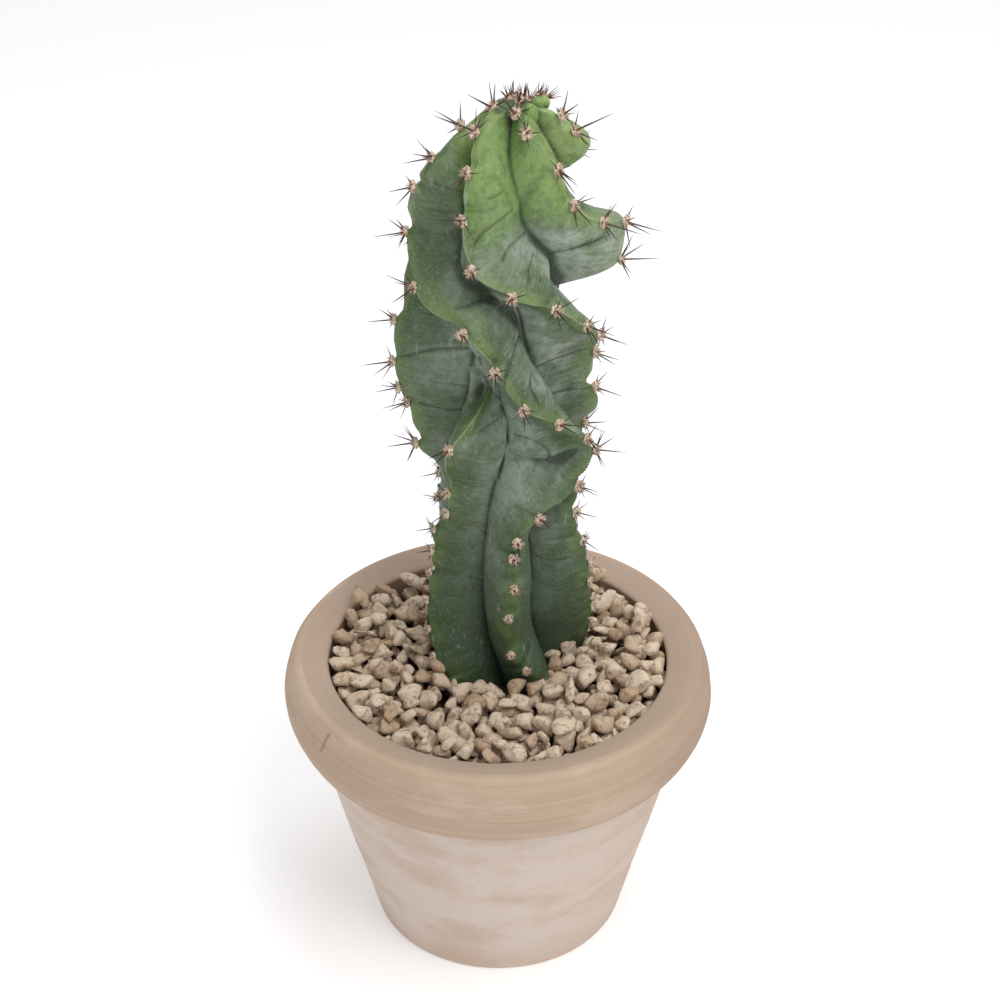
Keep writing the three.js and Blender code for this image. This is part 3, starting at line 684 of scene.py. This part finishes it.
def running_mean(rows, steps, ends):
    """Rows averaged over that many neighbours each way."""
    padded = np.pad(rows, ((steps, steps), (0, 0)), mode=ends).cumsum(0)
    before = np.vstack([np.zeros(rows.shape[1]), padded[:-2 * steps - 1]])
    return (padded[2 * steps:] - before) / (2 * steps + 1)


# The masks tell crests from hollows and mark a brown-grey tint round the hook's undercut, partly
# painted shade, given as bearing, height, half width in degrees and half height.
HOOK_TINTS_AND_SHADES = [(100, 444, 22.5, 18), (105, 395, 26, 26)]
EVENING_STEPS = 7
evened = reach.reshape(STEM_RINGS, STEM_SIDES)
for _ in range(2):
    evened = running_mean(evened, EVENING_STEPS, "edge")
    evened = running_mean(evened.T, EVENING_STEPS, "wrap").T
proud = reach - evened.ravel()
hook_tint_and_shade = 0
for side, level, half_width, half_height in HOOK_TINTS_AND_SHADES:
    aside = turn_between(ring_bearings.ravel(), 0) - side
    hook_tint_and_shade = hook_tint_and_shade + np.exp(-(aside / half_width) ** 2 - ((ring_heights.ravel() - level) / half_height) ** 2)
set_mask(stem, "down", with_caps(down))
set_mask(stem, "folded", with_caps(folded))
set_mask(stem, "run", with_caps(areole_run))
set_mask(stem, "proud", with_caps(np.clip(0.5 + proud / 5, 0, 1)))
set_mask(stem, "hook_tint_and_shade", with_caps(np.clip(hook_tint_and_shade, 0, 1)))

skin_material, tree, shader = new_material("cactus_skin")
place = node(tree, "TexCoord").outputs["Object"]
axes = node(tree, "SeparateXYZ", {"Vector": place}).outputs
east, height = axes["X"], axes["Z"]
down_flank, fold, proudness = mask_of(tree, "down"), mask_of(tree, "folded"), mask_of(tree, "proud")
patches = cloud(tree, place, 42.0, 5.0, 0.6)
mottle = cloud(tree, place, 180.0, 4.0, 0.6)
pores = cloud(tree, place, 620.0, 3.0, 0.7)
along_rib, up_stem = times(tree, mask_of(tree, "run"), 9.0), times(tree, height, 12.0)
grown = node(tree, "CombineXYZ", {"X": along_rib, "Y": times(tree, down_flank, 0.8), "Z": up_stem}).outputs[0]
streaks = cloud(tree, grown, 2.2, 6.0, 0.7)
hairlines = cloud(tree, grown, 9.0, 3.0, 0.7)

# Green tissue: dark and old near the foot, fresher beside the crests, yellow-green at the young end.
old_green = mix(tree, ramp(tree, height, 0.17, 0.34), (0.032, 0.062, 0.020), (0.052, 0.098, 0.030))
regrowth = cloud(tree, place, 60.0, 4.0, 0.6)
fresh = times(tree, ramp(tree, down_flank, 0.42, 0.06), ramp(tree, regrowth, 0.40, 0.60))
fresh = times(tree, fresh, ramp(tree, height, 0.17, 0.25, 0.35, 1.0))
green = mix(tree, fresh, old_green, (0.105, 0.180, 0.036))
young = times(tree, ramp(tree, height, 0.408, 0.470), ramp(tree, east, -0.027, -0.015, 0.05, 1.0))
green = mix(tree, young, green, (0.185, 0.300, 0.068))
lobe_tops = times(tree, ramp(tree, height, 0.452, 0.475), ramp(tree, east, 0.016, 0.026))
green = mix(tree, lobe_tops, green, (0.265, 0.385, 0.110))

# Blue-grey wax on the flanks: streaked, nearly gone on the youngest skin, paler high on the right, partly as
# painted light, and thinned on the upper left flank as painted shade.
wax = mix(tree, ramp(tree, height, 0.18, 0.33), (0.055, 0.090, 0.058), (0.245, 0.300, 0.240))
# Partly painted light: paler wax high on the right flank.
upper_right_wax_and_light = times(tree, ramp(tree, height, 0.330, 0.360), ramp(tree, east, 0.012, 0.030))
wax = mix(tree, upper_right_wax_and_light, wax, (0.400, 0.465, 0.385))
wax_share = plus(tree, times(tree, patches, 0.9), times(tree, streaks, 0.6))
wax_share = plus(tree, wax_share, times(tree, down_flank, 0.42))
# Painted shade: less wax on the upper left flank, and more towards the right, darken the left side.
left_flank_shade = ramp(tree, east, -0.030, -0.016, 0.25, 1.0)
left_flank_shade = maths(tree, "MAXIMUM", left_flank_shade, ramp(tree, height, 0.425, 0.385))
wax_and_light_by_side = times(tree, ramp(tree, east, -0.034, 0.018, 0.80, 1.40), left_flank_shade)
wax_and_light_by_side = times(tree, wax_and_light_by_side, ramp(tree, young, 0.35, 0.80, 1.0, 0.10))
wax_and_side_light = times(tree, ramp(tree, wax_share, 0.72, 1.22), wax_and_light_by_side)
skin_colour = mix(tree, wax_and_side_light, green, wax)
skin_colour = mix(tree, ramp(tree, mottle, 0.42, 0.66, 0.0, 0.45), skin_colour, old_green)
blush_brown = ramp(tree, cloud(tree, place, 95.0, 4.0, 0.65), 0.56, 0.70, 0.0, 0.35)
skin_colour = mix(tree, blush_brown, skin_colour, (0.085, 0.088, 0.048))
growth_lines = ramp(tree, hairlines, 0.54, 0.66, 0.0, 0.50)
growth_lines = times(tree, growth_lines, ramp(tree, height, 0.20, 0.32, 0.3, 1.0))
skin_colour = mix(tree, growth_lines, skin_colour, (0.270, 0.325, 0.250))

# Crests are paler, partly rubbed and partly a painted highlight, with a thin painted highlight on the crest
# edge; hollows and folds get painted shade, and round the hook's undercut a dull brown-grey tint is partly
# painted shade.
crest_wear_and_highlight = mix(tree, ramp(tree, height, 0.20, 0.42), (0.060, 0.110, 0.030), (0.200, 0.275, 0.100))
skin_colour = mix(tree, ramp(tree, proudness, 0.58, 0.90, 0.0, 0.35), skin_colour, crest_wear_and_highlight)
# Painted highlight: a thin pale line right along the crest edge.
crest_edge_highlight = times(tree, ramp(tree, down_flank, 0.036, 0.010), ramp(tree, patches, 0.34, 0.56, 0.35, 0.85))
crest_edge_highlight = times(tree, crest_edge_highlight, ramp(tree, height, 0.25, 0.36, 0.0, 1.0))
skin_colour = mix(tree, crest_edge_highlight, skin_colour, (0.300, 0.370, 0.225))
# Painted shade in the hollows between the ribs, taken from the proud mask.
skin_colour = mix(tree, ramp(tree, proudness, 0.44, 0.08, 0.0, 0.70), skin_colour, (0.022, 0.042, 0.024))
# Painted shade in the folds and wrinkles.
skin_colour = mix(tree, times(tree, fold, 0.6), skin_colour, (0.016, 0.030, 0.016))
# Partly painted shade: a dull brown-grey tint round the hook's undercut.
skin_colour = mix(tree, times(tree, mask_of(tree, "hook_tint_and_shade"), 0.85), skin_colour, (0.170, 0.160, 0.160))

# Breathing pores, pale scuffs and single corky specks lie over everything.
skin_colour = mix(tree, ramp(tree, pores, 0.50, 0.72, 0.0, 0.30), skin_colour, (0.210, 0.250, 0.180))
skin_colour = mix(tree, ramp(tree, pores, 0.48, 0.30, 0.0, 0.35), skin_colour, (0.030, 0.052, 0.024))
scuffs = cloud(tree, place, 300.0, 3.0, 0.7, (1.0, 1.0, 0.20))
scuffs = times(tree, ramp(tree, scuffs, 0.60, 0.68), ramp(tree, patches, 0.44, 0.56))
specks = node(tree, "TexVoronoi", {"Vector": place, "Scale": 210.0}).outputs["Distance"]
marks = maths(tree, "MAXIMUM", times(tree, scuffs, 0.28), ramp(tree, specks, 0.085, 0.055, 0.0, 0.45))
skin_colour = mix(tree, marks, skin_colour, (0.48, 0.52, 0.42))
fill_in(tree, shader, skin_colour, ramp(tree, wax_and_side_light, 0.0, 1.0, 0.42, 0.62), 0.40)
bumped(tree, shader, plus(tree, times(tree, mottle, 0.5), times(tree, hairlines, 0.5)), 0.0005, 0.8)
stem.data.materials.append(skin_material)
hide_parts("stem")
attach(stem, "root")

# --- Pumice top-dressing ------------------------------------------------------------------------
# Loose, rounded lumps of beige pumice lie packed up to the lip, each one dropped into the lowest
# place left. Their low sides get painted shade, and the grit in the gaps below them is dark, partly painted
# shade.
BED_TOP = 158
BED_LOW = 147.6
BED_REACH = 100
WALL_RADIUS = 95.0
LOOSE_STONES = 900
FILL_HEIGHT = 170.0
BED_PARTS = 6
FOOT_LEVEL = 163.0
TRIES = 26
TILT = 0.35
LENGTHS = [7, 8.5, 10, 11, 12.5, 14]
LENGTH_SHARES = [0.14, 0.22, 0.26, 0.18, 0.12, 0.08]
# A stone's top keeps this share of its bulge for the next ones, which sink in between.
NESTING = 0.86
SPLIT_FACES = 12
# Single larger stones: bearing, distance from the pot's middle, length, width, height.
STONES = [
    (22, 82, 13, 12, 10), (33, 80, 10, 9, 9), (8, 84, 12, 9, 8), (-6, 66, 11, 9, 9),
    (47, 72, 12, 9, 9), (62, 80, 16, 10, 9), (-20, 80, 10, 9, 8), (-38, 78, 12, 10, 9),
    (-62, 72, 13, 10, 9), (-80, 82, 12, 10, 9), (-100, 72, 12, 11, 10), (84, 78, 12, 10, 8),
    (-140, 80, 12, 9, 8), (130, 78, 12, 10, 9), (180, 80, 13, 10, 9),
]
random = np.random.default_rng(31)


def ball(level):
    """Directions and triangles of a sphere of even triangles."""
    sphere = bmesh.new()
    bmesh.ops.create_icosphere(sphere, subdivisions=level, radius=1.0)
    directions = np.array([vertex.co for vertex in sphere.verts])
    triangles = np.array([[vertex.index for vertex in face.verts] for face in sphere.faces])
    sphere.free()
    return directions, triangles


FINE_BALL, COARSE_BALL = ball(4), ball(3)


def stone_lump(directions, size, turn, seed):
    """A broken lump: flat-sided where it split, worn round on its edges, pitted all over."""
    chance = np.random.default_rng(seed)
    sides = chance.normal(size=(SPLIT_FACES, 3))
    sides /= np.linalg.norm(sides, axis=1)[:, None]
    facing = np.clip(directions @ sides.T, 0.02, None) / chance.uniform(0.76, 1.0, SPLIT_FACES)
    reach = (facing ** 6).sum(1) ** (-1 / 6)
    reach *= (1 + 0.12 * lumps(directions, 0.75, seed) + 0.055 * lumps(directions, 0.30, seed + 1)
              + 0.022 * lumps(directions, 0.15, seed + 2))
    shape = directions * reach[:, None]
    shape *= np.asarray(size) / np.ptp(shape, axis=0)
    return shape @ np.array(turn.to_matrix()).T


def lie():
    """A random turn about the upright with a slight tilt."""
    return Euler((random.normal() * TILT, random.normal() * TILT, random.uniform(0, 2 * math.pi)), "XYZ")


cells = np.arange(-BED_REACH, BED_REACH + 0.5, 1.0)
cell_x, cell_y = np.meshgrid(cells, cells, indexing="ij")
floor_places = np.stack([cell_x.ravel(), cell_y.ravel(), 0 * cell_x.ravel()], -1)
floor_height = BED_TOP - 3 + 1.2 * lumps(floor_places, 14, 3).reshape(cell_x.shape)
foot_bearings = np.arange(-180, 180)
foot_reach = skin_reach(foot_bearings.astype(float), np.full(len(foot_bearings), FOOT_LEVEL))[0]
foot_middle = np.array([reading(MIDDLE, FOOT_LEVEL, 1), reading(MIDDLE, FOOT_LEVEL, 2)])


def room(x, y):
    """Free distance from a place on the bed to the stem and to the pot's wall."""
    off_x, off_y = x - foot_middle[0], y - foot_middle[1]
    bearing = np.degrees(np.arctan2(off_x, -off_y))
    nearby = np.min([np.interp(turn_between(bearing, side), foot_bearings, foot_reach) + abs(side) * 0.1
                     for side in (8, 0, -8)], axis=0)
    return np.hypot(off_x, off_y) - nearby, WALL_RADIUS - np.hypot(x, y)


def settle(x, y, size):
    """Height of a stone's middle when it rests on what lies at (x, y), and its top's footprint."""
    half = (size[0] + size[1]) / 4
    i, j = int(round(x)) + BED_REACH, int(round(y)) + BED_REACH
    span = int(half)
    window = (slice(i - span, i + span + 1), slice(j - span, j + span + 1))
    flat = np.hypot(cell_x[window] - x, cell_y[window] - y) / half
    bulge = np.sqrt(np.clip(1 - flat ** 2, 0, 1)) * size[2] / 2
    inside = flat < 0.9
    return (floor_height[window] + bulge)[inside].max(), window, np.where(inside, bulge, -50)


def drop(x, y, size):
    """Puts a stone down and raises the bed under the next ones."""
    centre, window, bulge = settle(x, y, size)
    floor_height[window] = np.maximum(floor_height[window], centre + bulge * NESTING)
    return centre


pumice_material, tree, shader = new_material("beige_pumice")
place = node(tree, "TexCoord").outputs["Object"]
tone, relief = grain(tree, 1300.0)
crust = cloud(tree, place, 230.0, 5.0, 0.7)
hue, shadow = mask_of(tree, "hue"), mask_of(tree, "low_stone_shade")
stone = mix(tree, ramp(tree, hue, 0.0, 0.6), (0.600, 0.430, 0.285), (0.880, 0.725, 0.560))
stone = mix(tree, ramp(tree, crust, 0.51, 0.64, 0.0, 0.75), stone, (0.300, 0.175, 0.100))
stone = mix(tree, times(tree, tone, 0.22), stone, (0.38, 0.26, 0.17))
# Painted shade: stones are darkened low in the bed, between the others.
stone = mix(tree, times(tree, shadow, 0.85), stone, (0.100, 0.055, 0.030))
fill_in(tree, shader, stone, 0.95, 0.15)
bumped(tree, shader, plus(tree, relief, times(tree, crust, 1.8)), 0.0011)


def stone_piece(name, lumps_of_it):
    """One piece from (points, triangles, hue) of its stones."""
    vertices, triangles, hues, start = [], [], [], 0
    for points_of, faces_of, hue_of in lumps_of_it:
        vertices.append(points_of)
        triangles.append(faces_of + start)
        hues.append(np.full(len(points_of), hue_of))
        start += len(points_of)
    vertices = np.vstack(vertices)
    piece = mesh_object(name, vertices, np.vstack(triangles))
    set_mask(piece, "hue", np.concatenate(hues))
    set_mask(piece, "low_stone_shade", 1 - smoothstep(BED_TOP, BED_TOP + 6.5, vertices[:, 2]))
    piece.data.materials.append(pumice_material)
    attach(piece, "root")
    return piece


for number, (bearing, distance, *size) in enumerate(STONES, 1):
    angle = math.radians(bearing)
    x, y = distance * math.sin(angle), -distance * math.cos(angle)
    drop(x, y, size)
    lump = stone_lump(FINE_BALL[0], size, Euler((0, 0, angle + number - 1), "XYZ"), 300 + number)
    lump += (x, y, BED_TOP + 0.6 + size[2] / 2)
    piece = stone_piece(f"pumice_lump_{number:02d}", [(lump, FINE_BALL[1], random.uniform(0.35, 1.0))])
    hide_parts(f"stone_{number:02d}")

loose = [[] for _ in range(BED_PARTS)]
cell_room = np.minimum(*room(cell_x, cell_y)) > 2
for number in range(LOOSE_STONES):
    if floor_height[cell_room].mean() > FILL_HEIGHT:
        break
    length = random.choice(LENGTHS, p=LENGTH_SHARES)
    size = (length, length * random.uniform(0.66, 0.95), length * random.uniform(0.58, 0.85))
    tries = []
    for _ in range(TRIES):
        distance = (WALL_RADIUS - 1) * math.sqrt(random.uniform(0.1, 1))
        angle = random.uniform(0, 2 * math.pi)
        x, y = distance * math.sin(angle), -distance * math.cos(angle)
        from_stem, from_wall = room(x, y)
        if min(from_stem, from_wall + 0.8) > (size[0] + size[1]) / 4:
            tries.append((settle(x, y, size)[0], x, y))
    if tries:
        _, x, y = min(tries)
        centre = drop(x, y, size)
        directions, triangles = COARSE_BALL
        lump = stone_lump(directions, size, lie(), 1000 + number) + (x, y, centre)
        part = int((math.degrees(math.atan2(x, -y)) % 360) * BED_PARTS / 360)
        loose[part].append((lump, triangles, random.uniform(0, 1) ** 0.8))
for part, stones_of_it in enumerate(loose, 1):
    stone_piece(f"pumice_bed_{part}", stones_of_it)

# The grit under the loose stones fills the space between the stem and the pot; its very dark colour is partly
# painted shade for the gaps.
GRIT_SIDES, GRIT_RINGS = 240, 60
grit_radius = np.linspace(6, 94.6, GRIT_RINGS)
grit_top = around(np.stack([grit_radius, np.full(GRIT_RINGS, BED_TOP - 4.0)], -1), GRIT_SIDES)
grit_top[:, 2] += 0.9 * lumps(grit_top, 3.2, 51) + 0.6 * lumps(grit_top, 1.4, 52)
grit_low = grit_top * (1, 1, 0) + (0, 0, BED_LOW)
grit_under = grit_low.reshape(GRIT_RINGS, GRIT_SIDES, 3)[::-1].reshape(-1, 3)
grit_quads = closed_faces(2 * GRIT_RINGS, GRIT_SIDES)[:, ::-1]
grit = mesh_object("dark_grit_with_gap_shade", np.vstack([grit_top, grit_under]), grit_quads)
grit_material, tree, shader = new_material("dark_grit_with_gap_shade")
tone, relief = grain(tree, 520.0)
# Partly painted shade: the grit is kept very dark so the gaps between the stones read as shade.
grit_and_gap_shade = mix(tree, tone, (0.030, 0.018, 0.011), (0.105, 0.066, 0.040))
fill_in(tree, shader, grit_and_gap_shade, 0.95, 0.15)
bumped(tree, shader, relief, 0.0012)
grit.data.materials.append(grit_material)
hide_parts("gravel_bed")
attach(grit, "root")

# --- Areoles: felt pads with their spines ---------------------------------------------------------
# Along each crest sit cushions of cream felt with a rusty core. From each one stiff dark spines
# stand out, long in the middle and short round the edge, shorter and paler on the oldest wood.
PAD_SIZE = (2.6, 3.1, 1.7)
AREOLE_LIMIT = 38
LOWEST_AREOLE = 176
HIGHEST_AREOLE = 493.4
CROWN_START = 470
CROWN_LIFT = 2.8
LONG_SPINES_ABOVE = 300
SHORTEST_SPINE, LONGEST_SPINE = 4.5, 17
SPINE_SIDES = 6
SPINE_RINGS = 6
SPINE_TIP = 0.03
FIBRE_THICKNESS = 0.10

felt_material, tree, shader = new_material("areole_felt")
place = node(tree, "TexCoord").outputs["Object"]
core, tufts = mask_of(tree, "core"), cloud(tree, place, 900.0, 4.0, 0.7)
felt = mix(tree, ramp(tree, tufts, 0.35, 0.62), (0.340, 0.200, 0.130), (0.930, 0.800, 0.650))
rust = ramp(tree, plus(tree, core, times(tree, tufts, 0.6)), 0.90, 1.12)
felt = mix(tree, rust, felt, (0.120, 0.035, 0.022))
fill_in(tree, shader, felt, 0.95, 0.1)
bumped(tree, shader, tufts, 0.0008)

spine_material, tree, shader = new_material("spine_horn")
along = mask_of(tree, "along")
rings_of_growth = cloud(tree, node(tree, "TexCoord").outputs["Object"], 800.0, 2.0, 0.5)
horn = mix(tree, ramp(tree, along, 0.0, 0.30), (0.240, 0.080, 0.050), (0.026, 0.016, 0.016))
horn = mix(tree, ramp(tree, rings_of_growth, 0.5, 0.7, 0.0, 0.4), horn, (0.160, 0.090, 0.065))
horn = mix(tree, mask_of(tree, "pale"), horn, (0.330, 0.150, 0.095))
fill_in(tree, shader, horn, 0.38, 0.5)

young_material, tree, shader = new_material("young_spine")
along = mask_of(tree, "along")
young = mix(tree, ramp(tree, along, 0.1, 0.9), (0.170, 0.018, 0.016), (0.070, 0.020, 0.016))
fill_in(tree, shader, young, 0.35, 0.5)


def spine_shape(base, heading, length, thickness, bend):
    """Points, quads and along-values of one tapered spine that bends slightly to a side."""
    heading = heading / np.linalg.norm(heading)
    side = np.cross(heading, (0.3, 0.5, 0.8))
    side /= np.linalg.norm(side)
    other = np.cross(heading, side)
    share = np.linspace(0, 1, SPINE_RINGS)
    angle = np.arange(SPINE_SIDES) * 2 * math.pi / SPINE_SIDES
    width = thickness * (1 - share) ** 0.8 + SPINE_TIP
    middle = base + heading * (length * share)[:, None] + side * (bend * length * share ** 2)[:, None]
    ring = np.cos(angle)[:, None] * side + np.sin(angle)[:, None] * other
    points_of = middle[:, None] + width[:, None, None] * ring
    return points_of.reshape(-1, 3), ring_faces(SPINE_RINGS, SPINE_SIDES), np.repeat(share, SPINE_SIDES)


def spine_ends(start):
    """Closing faces of a spine whose first vertex has that number."""
    ring = np.arange(SPINE_SIDES)
    return np.stack([start + ring[::-1], start + (SPINE_RINGS - 1) * SPINE_SIDES + ring])


def areole(name, base, facing, seed, pad, spines, fibres=70, young=False):
    """One areole as a piece. Each spine is (lean from the facing, bearing round it, length, thickness)."""
    chance = np.random.default_rng(seed)
    facing = np.asarray(facing) / np.linalg.norm(facing)
    across = np.cross((0, 0, 1.0), facing)
    across /= np.linalg.norm(across)
    axes_of = np.stack([across, np.cross(facing, across), facing])

    # The felt pad is a lumpy cushion with a sunken core.
    directions, triangles = COARSE_BALL
    swelling = 1 + 0.34 * lumps(directions, 0.55, seed) + 0.18 * lumps(directions, 0.24, seed + 3)
    shape = directions * swelling[:, None] * np.asarray(PAD_SIZE) * pad
    core = np.clip(1.15 - np.hypot(directions[:, 0], directions[:, 1]) * 1.5, 0, 1) * (directions[:, 2] > 0)
    shape[:, 2] -= 0.5 * core * pad
    vertices, quads, ends = [base + shape @ axes_of], [], []
    along_values, count = [np.zeros(len(shape))], len(shape)

    # Spines are horn and start deep in the pad. The fibres are felt and start near its skin.
    strands = [(*spine, 1) for spine in spines]
    for _ in range(fibres):
        strands.append((1.25 * math.sqrt(chance.uniform()), chance.uniform(0, 360),
                        chance.uniform(1.0, 1.9) * pad + 0.6, FIBRE_THICKNESS, 0))
    for lean, bearing, length, thickness, horny in strands:
        turn = math.radians(bearing)
        heading = np.array([math.sin(lean) * math.sin(turn), math.sin(lean) * math.cos(turn), math.cos(lean)])
        start_depth, most_bend = (0.55, 0.06) if horny else (0.85, 0.3)
        root = base + (heading * start_depth * PAD_SIZE[0] * pad * (1, 1, 0.5)) @ axes_of
        points_of, faces_of, along_of = spine_shape(root, heading @ axes_of, length, thickness,
                                                    chance.uniform(-most_bend, most_bend))
        vertices.append(points_of)
        quads.append(faces_of + count)
        ends.append(spine_ends(count))
        along_values.append(along_of)
        count += len(points_of)
    of_horn = np.array([strand[-1] for strand in strands])
    piece = mesh_object(name, np.vstack(vertices), triangles, np.vstack(quads), np.vstack(ends))
    horn_faces = [np.repeat(of_horn, len(quads[0])), np.repeat(of_horn, len(ends[0]))]
    piece.data.materials.append(felt_material)
    piece.data.materials.append(young_material if young else spine_material)
    material_index = np.concatenate([np.zeros(len(triangles)), *horn_faces]).astype(np.int32)
    piece.data.polygons.foreach_set("material_index", material_index)
    set_mask(piece, "core", np.concatenate([core, np.zeros(count - len(core))]))
    set_mask(piece, "along", np.concatenate(along_values))
    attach(piece, "root")
    return piece


sites = [(min(row[0], HIGHEST_AREOLE), turn_between(row[1], 0))
         for rib in RIBS.values() for row in rib if len(row) == 3]
framed = [site for site in sites if site[0] > LOWEST_AREOLE]
framed = sorted(framed, key=lambda site: abs(site[1]))[:AREOLE_LIMIT]
framed.sort(key=lambda site: -site[0])
behind = [site for site in sites if site not in framed]
for index, (z, bearing) in enumerate(framed + behind):
    chance = np.random.default_rng(500 + index)
    rise = min(max((z - CROWN_START) / 25, 0), 1)
    angle = math.radians(bearing)
    outward = np.array([math.sin(angle), -math.cos(angle), 0])
    facing = outward * (1 - 0.6 * rise) + (0, 0, 0.6 * rise)
    facing /= np.linalg.norm(facing)
    spot = np.array([float(bearing)]), np.array([float(z)])
    base = on_stem(*spot, skin_reach(*spot)[0])[0] + facing * (0.5 + CROWN_LIFT * rise)
    longest = min(max((z - 190) / 6.5, SHORTEST_SPINE), LONGEST_SPINE) * chance.uniform(0.8, 1.1)
    thickness = 0.25 + 0.014 * longest
    spines = [(chance.uniform(0.1, 0.45), chance.uniform(90, 270), longest * chance.uniform(0.8, 1.1),
               thickness * 1.1)]
    if z > LONG_SPINES_ABOVE:
        spines.append((chance.uniform(0.4, 0.8), chance.uniform(0, 360), longest * chance.uniform(0.6, 0.9),
                       thickness))
    ring_count = int(chance.integers(3, 6)) if z > 260 else int(chance.integers(6, 9))
    turn = chance.uniform(0, 360)
    for k in range(ring_count):
        spines.append((chance.uniform(0.95, 1.3), turn + 360 * k / ring_count + chance.uniform(-28, 28),
                       longest * chance.uniform(0.35, 0.75), thickness * 0.85))
    in_frame = index < len(framed)
    name = f"areole_{index + 1:02d}" if in_frame else f"areole_back_{index + 1 - len(framed):02d}"
    piece = areole(name, base, facing, 700 + index, 0.72 + 0.28 * smoothstep(180, 300, z), spines)
    set_mask(piece, "pale", np.full(len(piece.data.vertices), 0.85 * (1 - smoothstep(190, 250, z))))
    if in_frame:
        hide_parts(f"spines_{index + 1:02d}")

# --- Growing tip -------------------------------------------------------------------------------
# New areoles crowd together in the middle of the crown, hidden under red young spines, beside the
# bead-like starts of the next ribs.
TIP = np.array([8.5, 3.0, 497.5])
# Rib starts: middle, half sizes. Young areoles: how far east and north of the tip they stand.
BEADS = [((14.5, -7.5, 493.5), (4.6, 4.4, 6.2)), ((18.5, 1.0, 496.0), (3.4, 3.2, 3.8)),
         ((21.5, 3.5, 495.8), (3.2, 3.0, 3.8))]
YOUNG_AREOLES = [(0, 0), (3.4, 2.2), (-3.6, 1.2), (1.2, -3.6), (-1.4, 4.0), (6.6, -0.6), (10.5, 5.5),
                 (14.0, 3.0)]
YOUNG_SPINES = 9
YOUNG_THICKNESS = 0.30
YOUNG_PAD = 0.68
CROWN_SLOPE = 0.02

for number, (centre, size) in enumerate(BEADS, 1):
    directions, triangles = FINE_BALL
    bead = directions * (1 + 0.04 * lumps(directions, 0.7, 80 + number))[:, None] * size + centre
    piece = mesh_object(f"rib_bead_{number}", bead, triangles)
    set_mask(piece, "down", np.full(len(bead), 0.35))
    set_mask(piece, "folded", np.zeros(len(bead)))
    # The proud mask falls towards each bead's underside, so the skin's painted shade darkens the beads
    # underneath.
    set_mask(piece, "proud", np.clip(0.30 + 0.3 * directions[:, 2], 0, 1))
    set_mask(piece, "hook_tint_and_shade", np.zeros(len(bead)))
    piece.data.materials.append(skin_material)
    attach(piece, "root")

for number, (east, north) in enumerate(YOUNG_AREOLES, 1):
    chance = np.random.default_rng(900 + number)
    outward = np.array([east * 0.10, north * 0.10, 1.0])
    spines = [(chance.uniform(0.1, 0.9), chance.uniform(0, 360), chance.uniform(4.5, 8.5), YOUNG_THICKNESS)
              for _ in range(YOUNG_SPINES)]
    base = TIP + (east, north, -CROWN_SLOPE * math.hypot(east, north))
    piece = areole(f"young_areole_{number}", base, outward, 950 + number, YOUNG_PAD, spines, fibres=50,
                   young=True)
    set_mask(piece, "pale", np.zeros(len(piece.data.vertices)))
